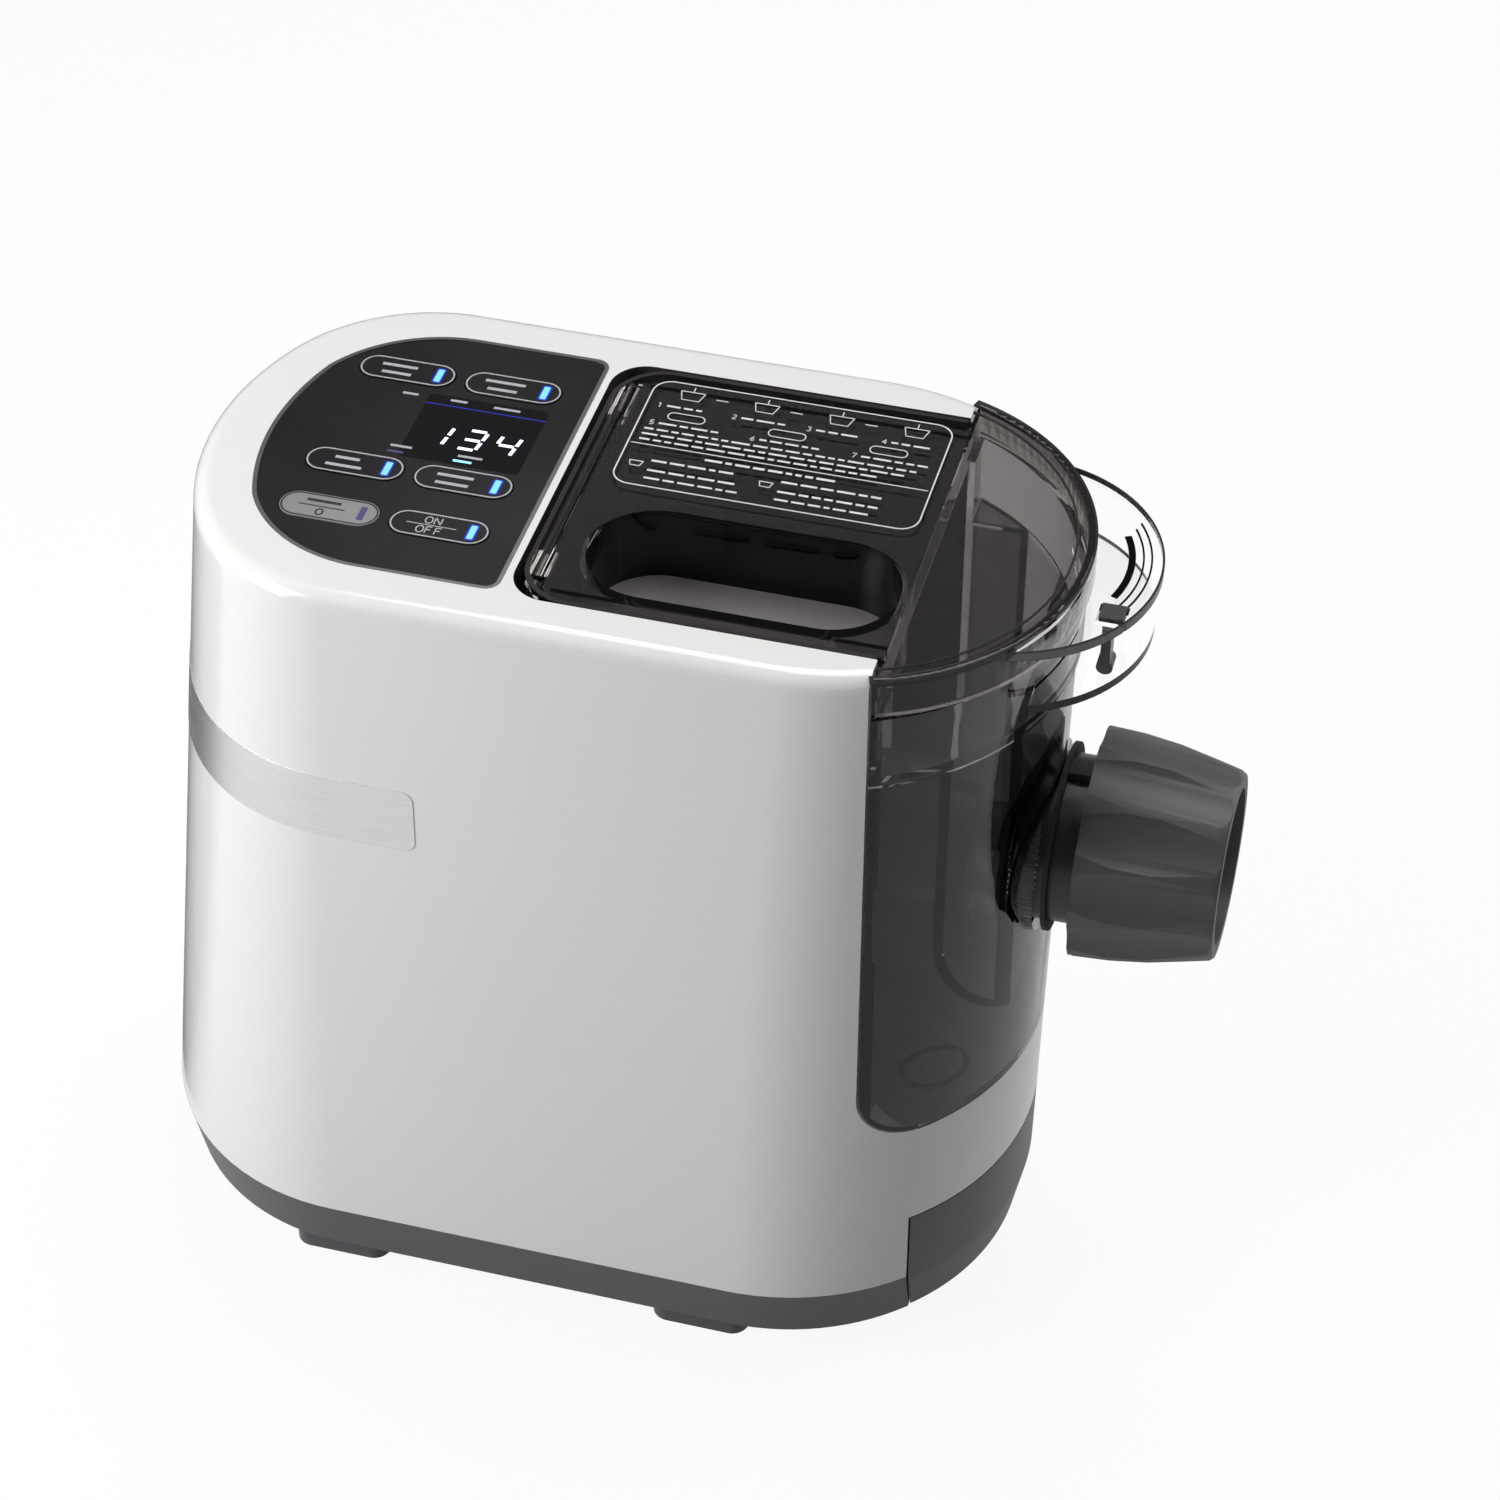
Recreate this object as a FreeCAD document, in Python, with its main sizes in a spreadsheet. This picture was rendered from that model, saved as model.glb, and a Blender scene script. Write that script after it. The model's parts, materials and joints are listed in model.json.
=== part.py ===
import FreeCAD, Part
import Sketcher
import math
import os

# Electric pasta maker. +X points to the extruder end, +Z is up, and the machine
# stands on z = 0 with the middle of its box on the origin. All sizes in mm.

V = FreeCAD.Vector
TURN_TO_X = FreeCAD.Rotation(V(0, 1, 0), 90)
TURN_TO_Y = FreeCAD.Rotation(V(1, 0, 0), -90)
PLANES = {
    "xy": FreeCAD.Rotation(),
    "xz": FreeCAD.Rotation(V(1, 0, 0), 90),
    "yz": FreeCAD.Rotation(V(1, 1, 1), 120),
}

SIZES = {
    # overall and outer skin
    "floor_gap": 12.0,
    "seam_height": 33.0,
    "body_height": 300.0,
    "skin": 2.8,
    "deck": 5.5,
    "base_width": 171.0,
    "base_rear": -182.8,
    "base_nose": 124.0,
    "base_corner": 80.0,
    "top_width": 155.0,
    "top_rear": -152.0,
    "top_nose": 128.5,
    "top_corner": 59.0,
    "top_rear_arc": 100.0,
    "base_tuck": 4.0,
    "top_round": 6.0,
    # bowl bay and front opening
    "bay_rear": -36.3,
    "bay_width": 123.4,
    "bay_floor": 104.5,
    "bay_corner": 12.0,
    "liner": 2.5,
    "mouth": 79.5,
    "mouth_round": 20.0,
    # drawer
    "drawer_split": 96.0,
    "drawer_top": 62.0,
    "drawer_width": 104.0,
    "drawer_depth": 128.0,
    "drawer_wall": 2.0,
    "drawer_gap": 0.5,
    # control panel
    "panel_rear": -133.0,
    "panel_front": -38.6,
    "panel_width": 121.8,
    "panel_nose": 48.0,
    "panel_thick": 2.7,
    "bezel": 1.4,
    "key_long": 32.0,
    "key_wide": 12.0,
    "key_proud": 0.4,
    "key_gap": 0.25,
    "key_flange": 1.2,
    "key_travel": 0.8,
    "board_height": 289.0,
    # trim band
    "trim_low": 204.5,
    "trim_high": 228.5,
    "trim_end": -63.0,
    "trim_round": 4.0,
    "trim_thick": 0.9,
    "trim_proud": 0.25,
    # drive train
    "axle_height": 186.9,
    "gear_module": 1.5,
    "pinion_teeth": 12,
    "wheel_teeth": 60,
    "gear_wide": 8.0,
    "case_front": -41.5,
    "case_wall": 3.0,
    "case_half": 58.0,
    "motor_radius": 36.0,
    "motor_long": 72.0,
    "shaft_radius": 6.0,
    "dog_radius": 5.5,
    # bowl
    "bowl_gap": 0.9,
    "bowl_wall": 2.5,
    "trough_radius": 58.0,
    "trough_front": 118.0,
    "bowl_rim": 286.0,
    "collar_low": 262.0,
    "collar_step": 1.5,
    # extruder
    "barrel_radius": 27.5,
    "barrel_bore": 22.5,
    "barrel_end": 170.5,
    "nut_rear": 137.5,
    "nut_front": 182.8,
    "nut_rear_radius": 37.9,
    "nut_front_radius": 30.7,
    "die_thick": 6.0,
    "screw_radius": 21.6,
    "screw_root": 10.0,
    "screw_pitch": 24.0,
    # lid
    "lid_rear": -34.6,
    "lid_width": 122.4,
    "lid_corner": 18.0,
    "lid_thick": 3.0,
    "lid_top": 299.6,
    "rim_centre": 55.5,
    "rim_radius": 76.2,
    "hinge_x": -30.0,
    "hinge_height": 296.0,
    "basin_rear": -21.0,
    "basin_front": 81.0,
    "basin_near": -54.0,
    "basin_far": -7.0,
    "basin_floor": 272.0,
    "handle_centre": 104.5,
    "handle_radius": 48.5,
}

KEYS = {
    "key_knead": (-100.8, 38.7),
    "key_extrude": (-65.2, 38.7),
    "key_fast": (-100.8, -12.2),
    "key_elastic": (-65.2, -12.2),
    "key_scale": (-100.8, -35.8),
    "key_power": (-65.2, -35.8),
}

doc = FreeCAD.newDocument("pasta_maker")
sheet = doc.addObject("Spreadsheet::Sheet", "sizes")


class Size:
    # a number together with the sheet expression that gives it

    def __init__(self, value, text=None):
        self.value = float(value)
        self.text = text or repr(float(value))

    def join(self, other, sign):
        other = as_size(other)
        total = {
            "+": lambda a, b: a + b,
            "-": lambda a, b: a - b,
            "*": lambda a, b: a * b,
            "/": lambda a, b: a / b,
        }[sign](self.value, other.value)
        return Size(total, "(%s %s %s)" % (self.text, sign, other.text))

    def __add__(self, other):
        return self.join(other, "+")

    def __sub__(self, other):
        return self.join(other, "-")

    def __mul__(self, other):
        return self.join(other, "*")

    def __truediv__(self, other):
        return self.join(other, "/")

    def __radd__(self, other):
        return as_size(other).join(self, "+")

    def __rsub__(self, other):
        return as_size(other).join(self, "-")

    def __rmul__(self, other):
        return as_size(other).join(self, "*")

    def __neg__(self):
        return as_size(0) - self

    def __float__(self):
        return self.value


def as_size(number):
    return number if isinstance(number, Size) else Size(number)


class Sizes:
    pass


S = Sizes()
for row, (alias, number) in enumerate(SIZES.items(), start=1):
    sheet.set("A%d" % row, alias)
    sheet.set("B%d" % row, str(number))
    sheet.setAlias("B%d" % row, alias)
    setattr(S, alias, Size(number, "sizes.%s" % alias))
doc.recompute()

# the rear corners turn through the same angle at the base and at the top
side_share = (S.base_width / 2 - S.base_corner) / (S.top_width / 2 - S.top_corner)
S.base_rear_arc = S.base_corner + side_share * (S.top_rear_arc - S.top_corner)


# Helpers: every size given as a Size is bound to the sheet

def bind(obj, prop, number):
    number = as_size(number)
    obj.setExpression(prop, number.text)


def put(obj, x=0, y=0, z=0, turn=None):
    obj.Placement = FreeCAD.Placement(V(float(x), float(y), float(z)), turn or FreeCAD.Rotation())
    for letter, number in zip("xyz", (x, y, z)):
        bind(obj, "Placement.Base.%s" % letter, number)
    return obj


def box(name, x0, x1, y0, y1, z0, z1):
    obj = doc.addObject("Part::Box", name)
    bind(obj, "Length", as_size(x1) - x0)
    bind(obj, "Width", as_size(y1) - y0)
    bind(obj, "Height", as_size(z1) - z0)
    return put(obj, x0, y0, z0)


def rod(name, radius, start, end, y=0, z=0, x=0, along="x"):
    obj = doc.addObject("Part::Cylinder", name)
    bind(obj, "Radius", radius)
    bind(obj, "Height", as_size(end) - start)
    if along == "x":
        return put(obj, start, y, z, TURN_TO_X)
    if along == "y":
        return put(obj, x, start, z, TURN_TO_Y)
    return put(obj, x, y, start)


def fuse(name, *shapes):
    obj = doc.addObject("Part::MultiFuse", name)
    obj.Shapes = list(shapes)
    obj.Refine = True
    return obj


def cut(name, base, *tools):
    obj = doc.addObject("Part::Cut", name)
    obj.Base = base
    obj.Tool = tools[0] if len(tools) == 1 else fuse(name + "_tools", *tools)
    return obj


def common(name, *shapes):
    obj = doc.addObject("Part::MultiCommon", name)
    obj.Shapes = list(shapes)
    return obj


def group(name, *shapes):
    obj = doc.addObject("Part::Compound", name)
    obj.Links = list(shapes)
    return obj


def line(a, b):
    return Part.LineSegment(V(a[0], a[1], 0), V(b[0], b[1], 0))


def arc(a, middle, b):
    return Part.Arc(V(a[0], a[1], 0), V(middle[0], middle[1], 0), V(b[0], b[1], 0))


def polygon(points):
    return [line(a, b) for a, b in zip(points, points[1:] + points[:1])]


def rounded_rectangle(x0, x1, y0, y1, corner):
    x0, x1, y0, y1, corner = [float(n) for n in (x0, x1, y0, y1, corner)]
    back = corner * (1 - math.sqrt(0.5))
    edges = []
    if x1 - x0 - 2 * corner > 0.01:
        edges += [line((x0 + corner, y0), (x1 - corner, y0)), line((x1 - corner, y1), (x0 + corner, y1))]
    if y1 - y0 - 2 * corner > 0.01:
        edges += [line((x1, y0 + corner), (x1, y1 - corner)), line((x0, y1 - corner), (x0, y0 + corner))]
    edges += [
        arc((x1 - corner, y0), (x1 - back, y0 + back), (x1, y0 + corner)),
        arc((x1, y1 - corner), (x1 - back, y1 - back), (x1 - corner, y1)),
        arc((x0 + corner, y1), (x0 + back, y1 - back), (x0, y1 - corner)),
        arc((x0, y0 + corner), (x0 + back, y0 + back), (x0 + corner, y0)),
    ]
    return edges


def drawn(name, edges, plane="xy", offset=0):
    obj = doc.addObject("Sketcher::SketchObject", name)
    for edge in edges:
        obj.addGeometry(edge, False)
    offset = as_size(offset)
    if plane == "xy":
        return put(obj, 0, 0, offset)
    if plane == "xz":
        return put(obj, 0, offset, 0, PLANES["xz"])
    return put(obj, offset, 0, 0, PLANES["yz"])


def prism(name, edges, start, end, plane="xy"):
    # an outline pushed from start to end along its plane's normal (-Y for the xz plane)
    start = as_size(start)
    end = as_size(end)
    first = drawn(name + "_outline", edges, plane, end if plane == "xz" else start)
    obj = doc.addObject("Part::Extrusion", name)
    obj.Base = first
    obj.DirMode = "Normal"
    obj.Solid = True
    bind(obj, "LengthFwd", end - start)
    return obj


def body_sketch(body, name, role):
    sketch = body.newObject("Sketcher::SketchObject", name)
    plane = [part for part in body.Origin.OriginFeatures if part.Role == role][0]
    sketch.AttachmentSupport = [(plane, "")]
    sketch.MapMode = "FlatFace"
    return sketch


def turned(name, profile, height):
    # a PartDesign body: a profile of (x, radius) points turned about a line along X
    body = doc.addObject("PartDesign::Body", name)
    sketch = body_sketch(body, name + "_profile", "XZ_Plane")
    points = [(as_size(x), as_size(r)) for x, r in profile]
    count = len(points)
    for n, (x, r) in enumerate(points):
        nx, nr = points[(n + 1) % count]
        sketch.addGeometry(line((x.value, r.value), (nx.value, nr.value)), False)
    for n in range(count):
        sketch.addConstraint(Sketcher.Constraint("Coincident", n, 2, (n + 1) % count, 1))
    for n, (x, r) in enumerate(points):
        for kind, number in (("DistanceX", x), ("DistanceY", r)):
            index = sketch.addConstraint(Sketcher.Constraint(kind, -1, 1, n, 1, number.value))
            if "sizes" in number.text:
                sketch.setExpression("Constraints[%d]" % index, number.text)
    turn = body.newObject("PartDesign::Revolution", name + "_turn")
    turn.Profile = sketch
    turn.ReferenceAxis = (sketch, ["H_Axis"])
    turn.Angle = 360.0
    return put(body, 0, 0, height)


# Outer skin: plan outlines with round nose, bowed corners and a rear arc

def plan(width, rear, nose, corner, rear_arc, inset):
    half = float(width) / 2 - inset
    rear = float(rear) + inset
    nose = float(nose) - inset
    corner = float(corner) - inset
    rear_arc = float(rear_arc) - inset
    nose_x = nose - half
    side = half - corner
    arc_x = rear + rear_arc
    corner_x = arc_x - math.sqrt((rear_arc - corner) ** 2 - side ** 2)
    lean = math.atan2(side, corner_x - arc_x)
    join = (corner_x + corner * math.cos(lean), side + corner * math.sin(lean))
    middle = (lean + math.pi / 2) / 2
    bend = (corner_x + corner * math.cos(middle), side + corner * math.sin(middle))
    diagonal = half * math.sqrt(0.5)
    flip = lambda p: (p[0], -p[1])
    top_side = (corner_x, half)
    nose_side = (nose_x, half)
    nose_bend = (nose_x + diagonal, diagonal)
    return [
        line(nose_side, top_side),
        arc(top_side, bend, join),
        arc(join, (rear, 0), flip(join)),
        arc(flip(join), flip(bend), flip(top_side)),
        line(flip(top_side), flip(nose_side)),
        arc(flip(nose_side), flip(nose_bend), (nose, 0)),
        arc((nose, 0), nose_bend, nose_side),
    ]


def base_plan(inset):
    return plan(S.base_width, S.base_rear, S.base_nose, S.base_corner, S.base_rear_arc, inset)


def top_plan(inset):
    return plan(S.top_width, S.top_rear, S.top_nose, S.top_corner, S.top_rear_arc, inset)


def loft(name, low, high):
    obj = doc.addObject("Part::Loft", name)
    obj.Sections = [low, high]
    obj.Solid = True
    obj.Ruled = True
    return obj


def chorded(edges, chords=5):
    # the same outline with each arc as a few chords, for surfaces that nothing shows
    made = []
    for edge in edges:
        count = chords + 1 if isinstance(edge, Part.Arc) else 2
        points = edge.toShape().discretize(count)
        made += [line(a, b) for a, b in zip(points, points[1:])]
    return made


def body_loft(name, inset, hidden=False):
    low_edges = base_plan(inset)
    high_edges = top_plan(inset)
    if hidden:
        low_edges = chorded(low_edges)
        high_edges = chorded(high_edges)
    low = drawn(name + "_low", low_edges, "xy", S.seam_height)
    high = drawn(name + "_high", high_edges, "xy", S.body_height)
    return loft(name, low, high)


def base_loft(name, inset):
    low = drawn(name + "_low", base_plan(inset + float(S.base_tuck)), "xy", S.floor_gap)
    high = drawn(name + "_high", base_plan(inset), "xy", S.seam_height)
    return loft(name, low, high)


far = 260.0
half_far = 150.0
split = S.drawer_split
half_bay = S.bay_width / 2
axle = S.axle_height
bowl_back = S.bay_rear + S.bowl_gap
bowl_face = S.mouth + S.bowl_gap
top = S.body_height


# Housing shell with its bowl bay, panel seat, trim groove, drawer mouth and vents

def panel_outline(grow):
    front = float(S.panel_front) + grow
    half = float(S.panel_width) / 2 + grow
    shoulder = float(S.panel_rear) + float(S.panel_nose)
    nose = float(S.panel_nose) + grow
    corner = 5.0 + grow
    back = corner * (1 - math.sqrt(0.5))
    side = (shoulder, half)
    upper = (shoulder - nose * 0.52, half * 0.872)
    waist = (shoulder - nose * 0.86, half * 0.58)
    flip = lambda p: (p[0], -p[1])
    return [
        line((front - corner, half), side),
        arc(side, upper, waist),
        arc(waist, (shoulder - nose, 0), flip(waist)),
        arc(flip(waist), flip(upper), flip(side)),
        line(flip(side), (front - corner, -half)),
        arc((front - corner, -half), (front - back, -half + back), (front, -half + corner)),
        line((front, -half + corner), (front, half - corner)),
        arc((front, half - corner), (front - back, half - back), (front - corner, half)),
    ]


def make_housing():
    outer = body_loft("outer_skin", 0.0)
    doc.recompute()
    crown = doc.addObject("Part::Fillet", "crowned_skin")
    crown.Base = outer
    round_over = float(S.top_round)
    crown.Edges = [
        (n, round_over, round_over)
        for n, edge in enumerate(outer.Shape.Edges, start=1)
        if edge.BoundBox.ZMin > float(top) - 0.1
    ]
    room = common(
        "inner_room", body_loft("inner_skin", float(S.skin), hidden=True),
        box("under_deck", -far, far, -far, far, 0, top - S.deck),
    )
    half_liner = half_bay + S.liner
    liner = rounded_rectangle(S.bay_rear - S.liner, half_far, -half_liner, half_liner, S.bay_corner)
    bay_block = fuse(
        "bay_block",
        prism("bay_liner", liner, S.bay_floor - S.liner, top),
        box("mouth_wall", S.mouth - S.liner, far, -far, far, S.bay_floor - S.liner, top),
    )
    posts = [
        rod("board_post_%d" % n, 3.0, S.board_height + 1.6, top - S.deck + 1, x=x, y=y, along="z")
        for n, (x, y) in enumerate(BOARD_POSTS)
    ]
    hollow = cut("housing_hollow", room, bay_block, *posts)
    bay_shape = rounded_rectangle(S.bay_rear, 200, -half_bay, half_bay, S.bay_corner)
    mouth_shape = rounded_rectangle(S.mouth, 240, S.bay_floor, 380, S.mouth_round)
    vents = []
    for n in range(6):
        low = 66.0 + n * 9.0
        slot = rounded_rectangle(-34, 34, low, low + 4.0, 1.9)
        vents.append(prism("rear_vent_%d" % n, slot, -far, -130, "yz"))
    groove = cut(
        "trim_groove", prism("trim_room", trim_shape(), -half_far, half_far, "xz"),
        body_loft("trim_core", float(S.trim_thick)),
    )
    return cut(
        "housing_shell", crown, hollow,
        prism("bay", bay_shape, S.bay_floor, top + 5),
        prism("mouth_cut", mouth_shape, -120, 120, "xz"),
        prism("panel_seat", panel_outline(0), top - S.panel_thick, top + 5),
        prism("panel_hole", panel_outline(-3), top - 20, top + 5),
        groove,
        box("drawer_mouth", split, far, -far, far, 0, S.drawer_top + S.drawer_gap),
        rod("shaft_pass", 14.0, -60, -20, 0, axle),
        rod("cord_seat", 8.0, -far, -150, 0, 48),
        *vents
    )


def trim_shape():
    return rounded_rectangle(-far, S.trim_end, S.trim_low, S.trim_high, S.trim_round)


def make_trim_band():
    span = prism("trim_span", trim_shape(), -half_far, half_far, "xz")
    ribbon = common("trim_slice", body_loft("trim_outer", -float(S.trim_proud)), span)
    return cut("trim_band", ribbon, body_loft("trim_back", float(S.trim_thick)))


# Base tray on four feet, each foot hanging on a load cell

def make_base():
    room = common(
        "base_room", base_loft("base_inner", 3.0),
        box("above_floor", -far, far, -far, far, S.floor_gap + 2.5, S.seam_height),
    )
    openings = [box("base_drawer_mouth", split, far, -far, far, 0, 40)]
    for n in range(7):
        place = -60.0 + n * 9.0
        slot = rounded_rectangle(place, place + 4.0, -26, 26, 1.9)
        openings.append(prism("base_vent_%d" % n, slot, 5, 20))
    for name, (x, y) in FEET.items():
        openings.append(rod("well_" + name, 7.5, 5, 20, x=x, y=y, along="z"))
    shell = cut("base_shell", base_loft("base_outer", 0.0), room, *openings)
    bosses = [
        rod("cell_boss_" + name, 5.0, S.floor_gap + 1, 18.5, x=x + 30, y=y * 0.93, along="z")
        for name, (x, y) in FEET.items()
    ]
    return fuse("base_tray", shell, *bosses)


def make_feet():
    made = []
    for name, (x, y) in FEET.items():
        shoe = prism("shoe_" + name, rounded_rectangle(x - 17, x + 17, y - 10, y + 10, 6), 0, 11.2)
        made.append(fuse("foot_" + name, shoe, rod("stem_" + name, 7.0, 11, 18.5, x=x, y=y, along="z")))
        bar = rounded_rectangle(x - 8, x + 38, y - 6, y + 6, 3)
        made.append(prism("load_cell_" + name, bar, 18.5, 24.5))
    return made


# Control panel: bezel, plate, window, keys and the board behind them

def pill(x, y, grow):
    long = float(S.key_long) / 2 + grow
    wide = float(S.key_wide) / 2 + grow
    return rounded_rectangle(x - long, x + long, y - wide, y + wide, wide - 0.05)


def make_panel():
    low = top - S.panel_thick
    edge = float(S.bezel)
    bezel = cut(
        "panel_bezel", prism("bezel_out", panel_outline(0), low, top),
        prism("bezel_in", panel_outline(-edge), low - 1, top + 1),
    )
    window_shape = rounded_rectangle(-90, -50, -4.5, 29.5, 2)
    holes = [prism("hole_" + name, pill(x, y, float(S.key_gap)), 280, 310) for name, (x, y) in KEYS.items()]
    plate = cut(
        "control_panel", prism("panel_plate", panel_outline(-edge), low, top - 0.3),
        prism("window_hole", window_shape, 280, 310), *holes
    )
    window = prism("display_window", window_shape, low, top - 0.3)
    keys = []
    for name, (x, y) in KEYS.items():
        cap = prism("cap_" + name, pill(x, y, 0), top - 4, top - 0.3 + S.key_proud)
        flange = prism("flange_" + name, pill(x, y, float(S.key_flange)), top - 5.3, low - 0.4)
        keys.append(fuse(name, cap, flange))
    board = prism(
        "control_board", rounded_rectangle(-122, -45, -50, 50, 3), S.board_height, S.board_height + 1.6
    )
    display = box("display_module", -89, -51, -3.5, 28.5, S.board_height + 1.6, low)
    switches = []
    for name, (x, y) in KEYS.items():
        base_z = S.board_height + 1.6
        switches.append(box("switch_" + name, x - 3, x + 3, y - 3, y + 3, base_z, base_z + 2.6))
        switches.append(rod("plunger_" + name, 1.6, base_z + 2.6, base_z + 3.1, x=x, y=y, along="z"))
    return [bezel, plate, window, board, display, group("key_switches", *switches)] + keys


# Gears: involute flanks with two chords each, on a 25 degree pressure angle

def gear_outline(teeth, phase, height):
    module = float(S.gear_module)
    pitch_r = module * teeth / 2
    pressure = math.radians(25)
    base_r = pitch_r * math.cos(pressure)
    root_r = pitch_r - 1.25 * module
    tip_r = pitch_r + module
    play = 0.18
    half_tooth = math.pi / (2 * teeth) - play / (2 * pitch_r)

    def spread(radius):
        # how far the flank has come round at this radius, from its place on the pitch circle
        if radius <= base_r:
            return 0.0
        turn = math.acos(base_r / radius)
        return math.tan(turn) - turn

    at_pitch = spread(pitch_r)
    radii = [root_r, max(pitch_r - 0.5 * module, base_r), tip_r]
    points = []
    for n in range(teeth):
        centre = phase + 2 * math.pi * n / teeth
        flank = [(r, half_tooth + at_pitch - spread(r)) for r in radii]
        for r, turn in flank:
            points.append((r, centre - turn))
        for r, turn in reversed(flank):
            points.append((r, centre + turn))
    return polygon([(r * math.cos(a), float(height) + r * math.sin(a)) for r, a in points])


def gear(name, teeth, phase, height, start, end):
    return prism(name, gear_outline(teeth, phase, height), start, end, "yz")


def hexagon(radius, height):
    turns = [math.radians(60 * n) for n in range(6)]
    return polygon([(radius * math.cos(a), float(height) + radius * math.sin(a)) for a in turns])


def make_gear_train():
    small = int(SIZES["pinion_teeth"])
    big = int(SIZES["wheel_teeth"])
    centres = S.gear_module * (S.pinion_teeth + S.wheel_teeth) / 2
    idler = axle - centres
    motor = idler - centres
    up = math.pi / 2
    half_step = math.pi / big
    front = S.case_front
    wall = S.case_wall
    cover_back = front - wall
    first = cover_back - 2.5
    second = first - S.gear_wide - 3
    case_back = second - S.gear_wide - 2
    wall_back = case_back - wall
    case_half = S.case_half
    outline = rounded_rectangle(-case_half, case_half, motor - 22, axle + case_half, 38)
    inside = rounded_rectangle(
        -case_half + wall, case_half - wall, motor - 22 + wall, axle + case_half - wall, 35
    )
    case = cut(
        "gearbox_case", prism("case_out", outline, wall_back, cover_back, "yz"),
        prism("case_in", inside, case_back, cover_back + 1, "yz"),
        rod("case_shaft_seat", 11, wall_back - 1, case_back + 1, 0, axle),
        rod("case_motor_seat", 8, wall_back - 1, case_back + 1, 0, motor),
    )
    cover = cut(
        "gearbox_cover", prism("cover_out", outline, cover_back, front, "yz"),
        rod("cover_shaft_seat", 11, cover_back - 1, front + 1, 0, axle),
    )
    shaft_r = S.shaft_radius
    wheel = cut(
        "output_gear",
        fuse(
            "output_blank", gear("output_teeth", big, up + half_step, axle, first - S.gear_wide, first),
            rod("output_hub", 13, first - S.gear_wide, first + 1.5, 0, axle),
        ),
        rod("output_bore", shaft_r, first - 20, first + 5, 0, axle),
    )
    dog = prism("shaft_dog", hexagon(float(S.dog_radius), axle), -38, -14, "yz")
    shaft = fuse("drive_shaft", rod("shaft_rod", shaft_r, wall_back - 2, -37.5, 0, axle), dog)
    cluster = cut(
        "idler_gear",
        fuse(
            "idler_blank", gear("idler_wheel", big, up + half_step, idler, second - S.gear_wide, second),
            gear("idler_pinion", small, up, idler, second - 0.5, first),
        ),
        rod("idler_bore", 3.56, second - 30, first + 30, 0, idler),
    )
    pin = rod("idler_pin", 3.5, case_back, cover_back, 0, idler)
    pinion = cut(
        "motor_pinion", gear("pinion_teeth", small, up, motor, second - S.gear_wide, second),
        rod("pinion_bore", 4, second - 20, second + 5, 0, motor),
    )
    bearings = group(
        "shaft_bearings",
        ring("rear_bearing", 11, 6.03, wall_back - 1, case_back, axle),
        ring("front_bearing", 11, 6.03, cover_back, front + 1, axle),
    )
    end = wall_back - S.motor_long
    motor_r = S.motor_radius
    can = turned(
        "motor_case",
        [(wall_back, motor_r), (wall_back, motor_r - 1.5), (end + 2, motor_r - 1.5), (end + 2, 8),
         (end, 8), (end, motor_r)],
        motor,
    )
    stator = ring("motor_stator", motor_r - 1.5, 20.6, end + 10, wall_back - 14, motor)
    rotor = turned(
        "motor_rotor",
        [(end - 17, 0), (end - 17, 4), (end + 12, 4), (end + 12, 20), (wall_back - 16, 20),
         (wall_back - 16, 4), (second, 4), (second, 0)],
        motor,
    )
    blades = []
    for n in range(7):
        blade = box("blade_%d" % n, end - 14, end - 5, -0.9, 0.9, 7, 33)
        spin = FreeCAD.Placement(V(0, 0, float(motor)), FreeCAD.Rotation(V(1, 0, 0), n * 360 / 7))
        blade.Placement = spin.multiply(FreeCAD.Placement(V(float(end) - 14, -0.9, 7), FreeCAD.Rotation()))
        for letter in "xyz":
            blade.setExpression("Placement.Base.%s" % letter, None)
        blades.append(blade)
    fan = cut(
        "cooling_fan",
        fuse(
            "fan_blank", rod("fan_hub", 9, end - 15, end - 4, 0, motor),
            rod("fan_disc", 33, end - 5.5, end - 4, 0, motor), *blades
        ),
        rod("fan_bore", 4, end - 30, end, 0, motor),
    )
    motor_bearings = group(
        "motor_bearings",
        ring("motor_front_bearing", 8, 4.03, wall_back, case_back, motor),
        ring("motor_rear_bearing", 8, 4.03, end - 2, end + 2, motor),
    )
    seal = ring("drive_seal", 14, 6.05, S.bay_rear - S.liner, S.bay_rear - 0.1, axle)
    screws = []
    for n, (y, z) in enumerate([(50, 70), (-50, 70), (50, 232), (-50, 232)]):
        screws.append(rod("gearbox_screw_%d" % n, 3.5, front, front + 2, y, z))
    return [case, cover, wheel, shaft, cluster, pin, pinion, bearings, can, stator, rotor, fan,
            motor_bearings, seal, group("gearbox_screws", *screws)]


def ring(name, outside, inside, start, end, height):
    return turned(name, [(start, inside), (start, outside), (end, outside), (end, inside)], height)


# Bowl: a round-bottomed trough inside a clear apron that carries on the housing's outside

def trough(name, inset, start, end, height):
    r = float(S.trough_radius) - inset
    z = float(axle)
    corner = r * math.sqrt(0.5)
    shape = [
        line((r, z), (r, height)),
        line((r, height), (-r, height)),
        line((-r, height), (-r, z)),
        arc((-r, z), (-corner, z - corner), (0, z - r)),
        arc((0, z - r), (corner, z - corner), (r, z)),
    ]
    return prism(name, shape, start, end, "yz")


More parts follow.
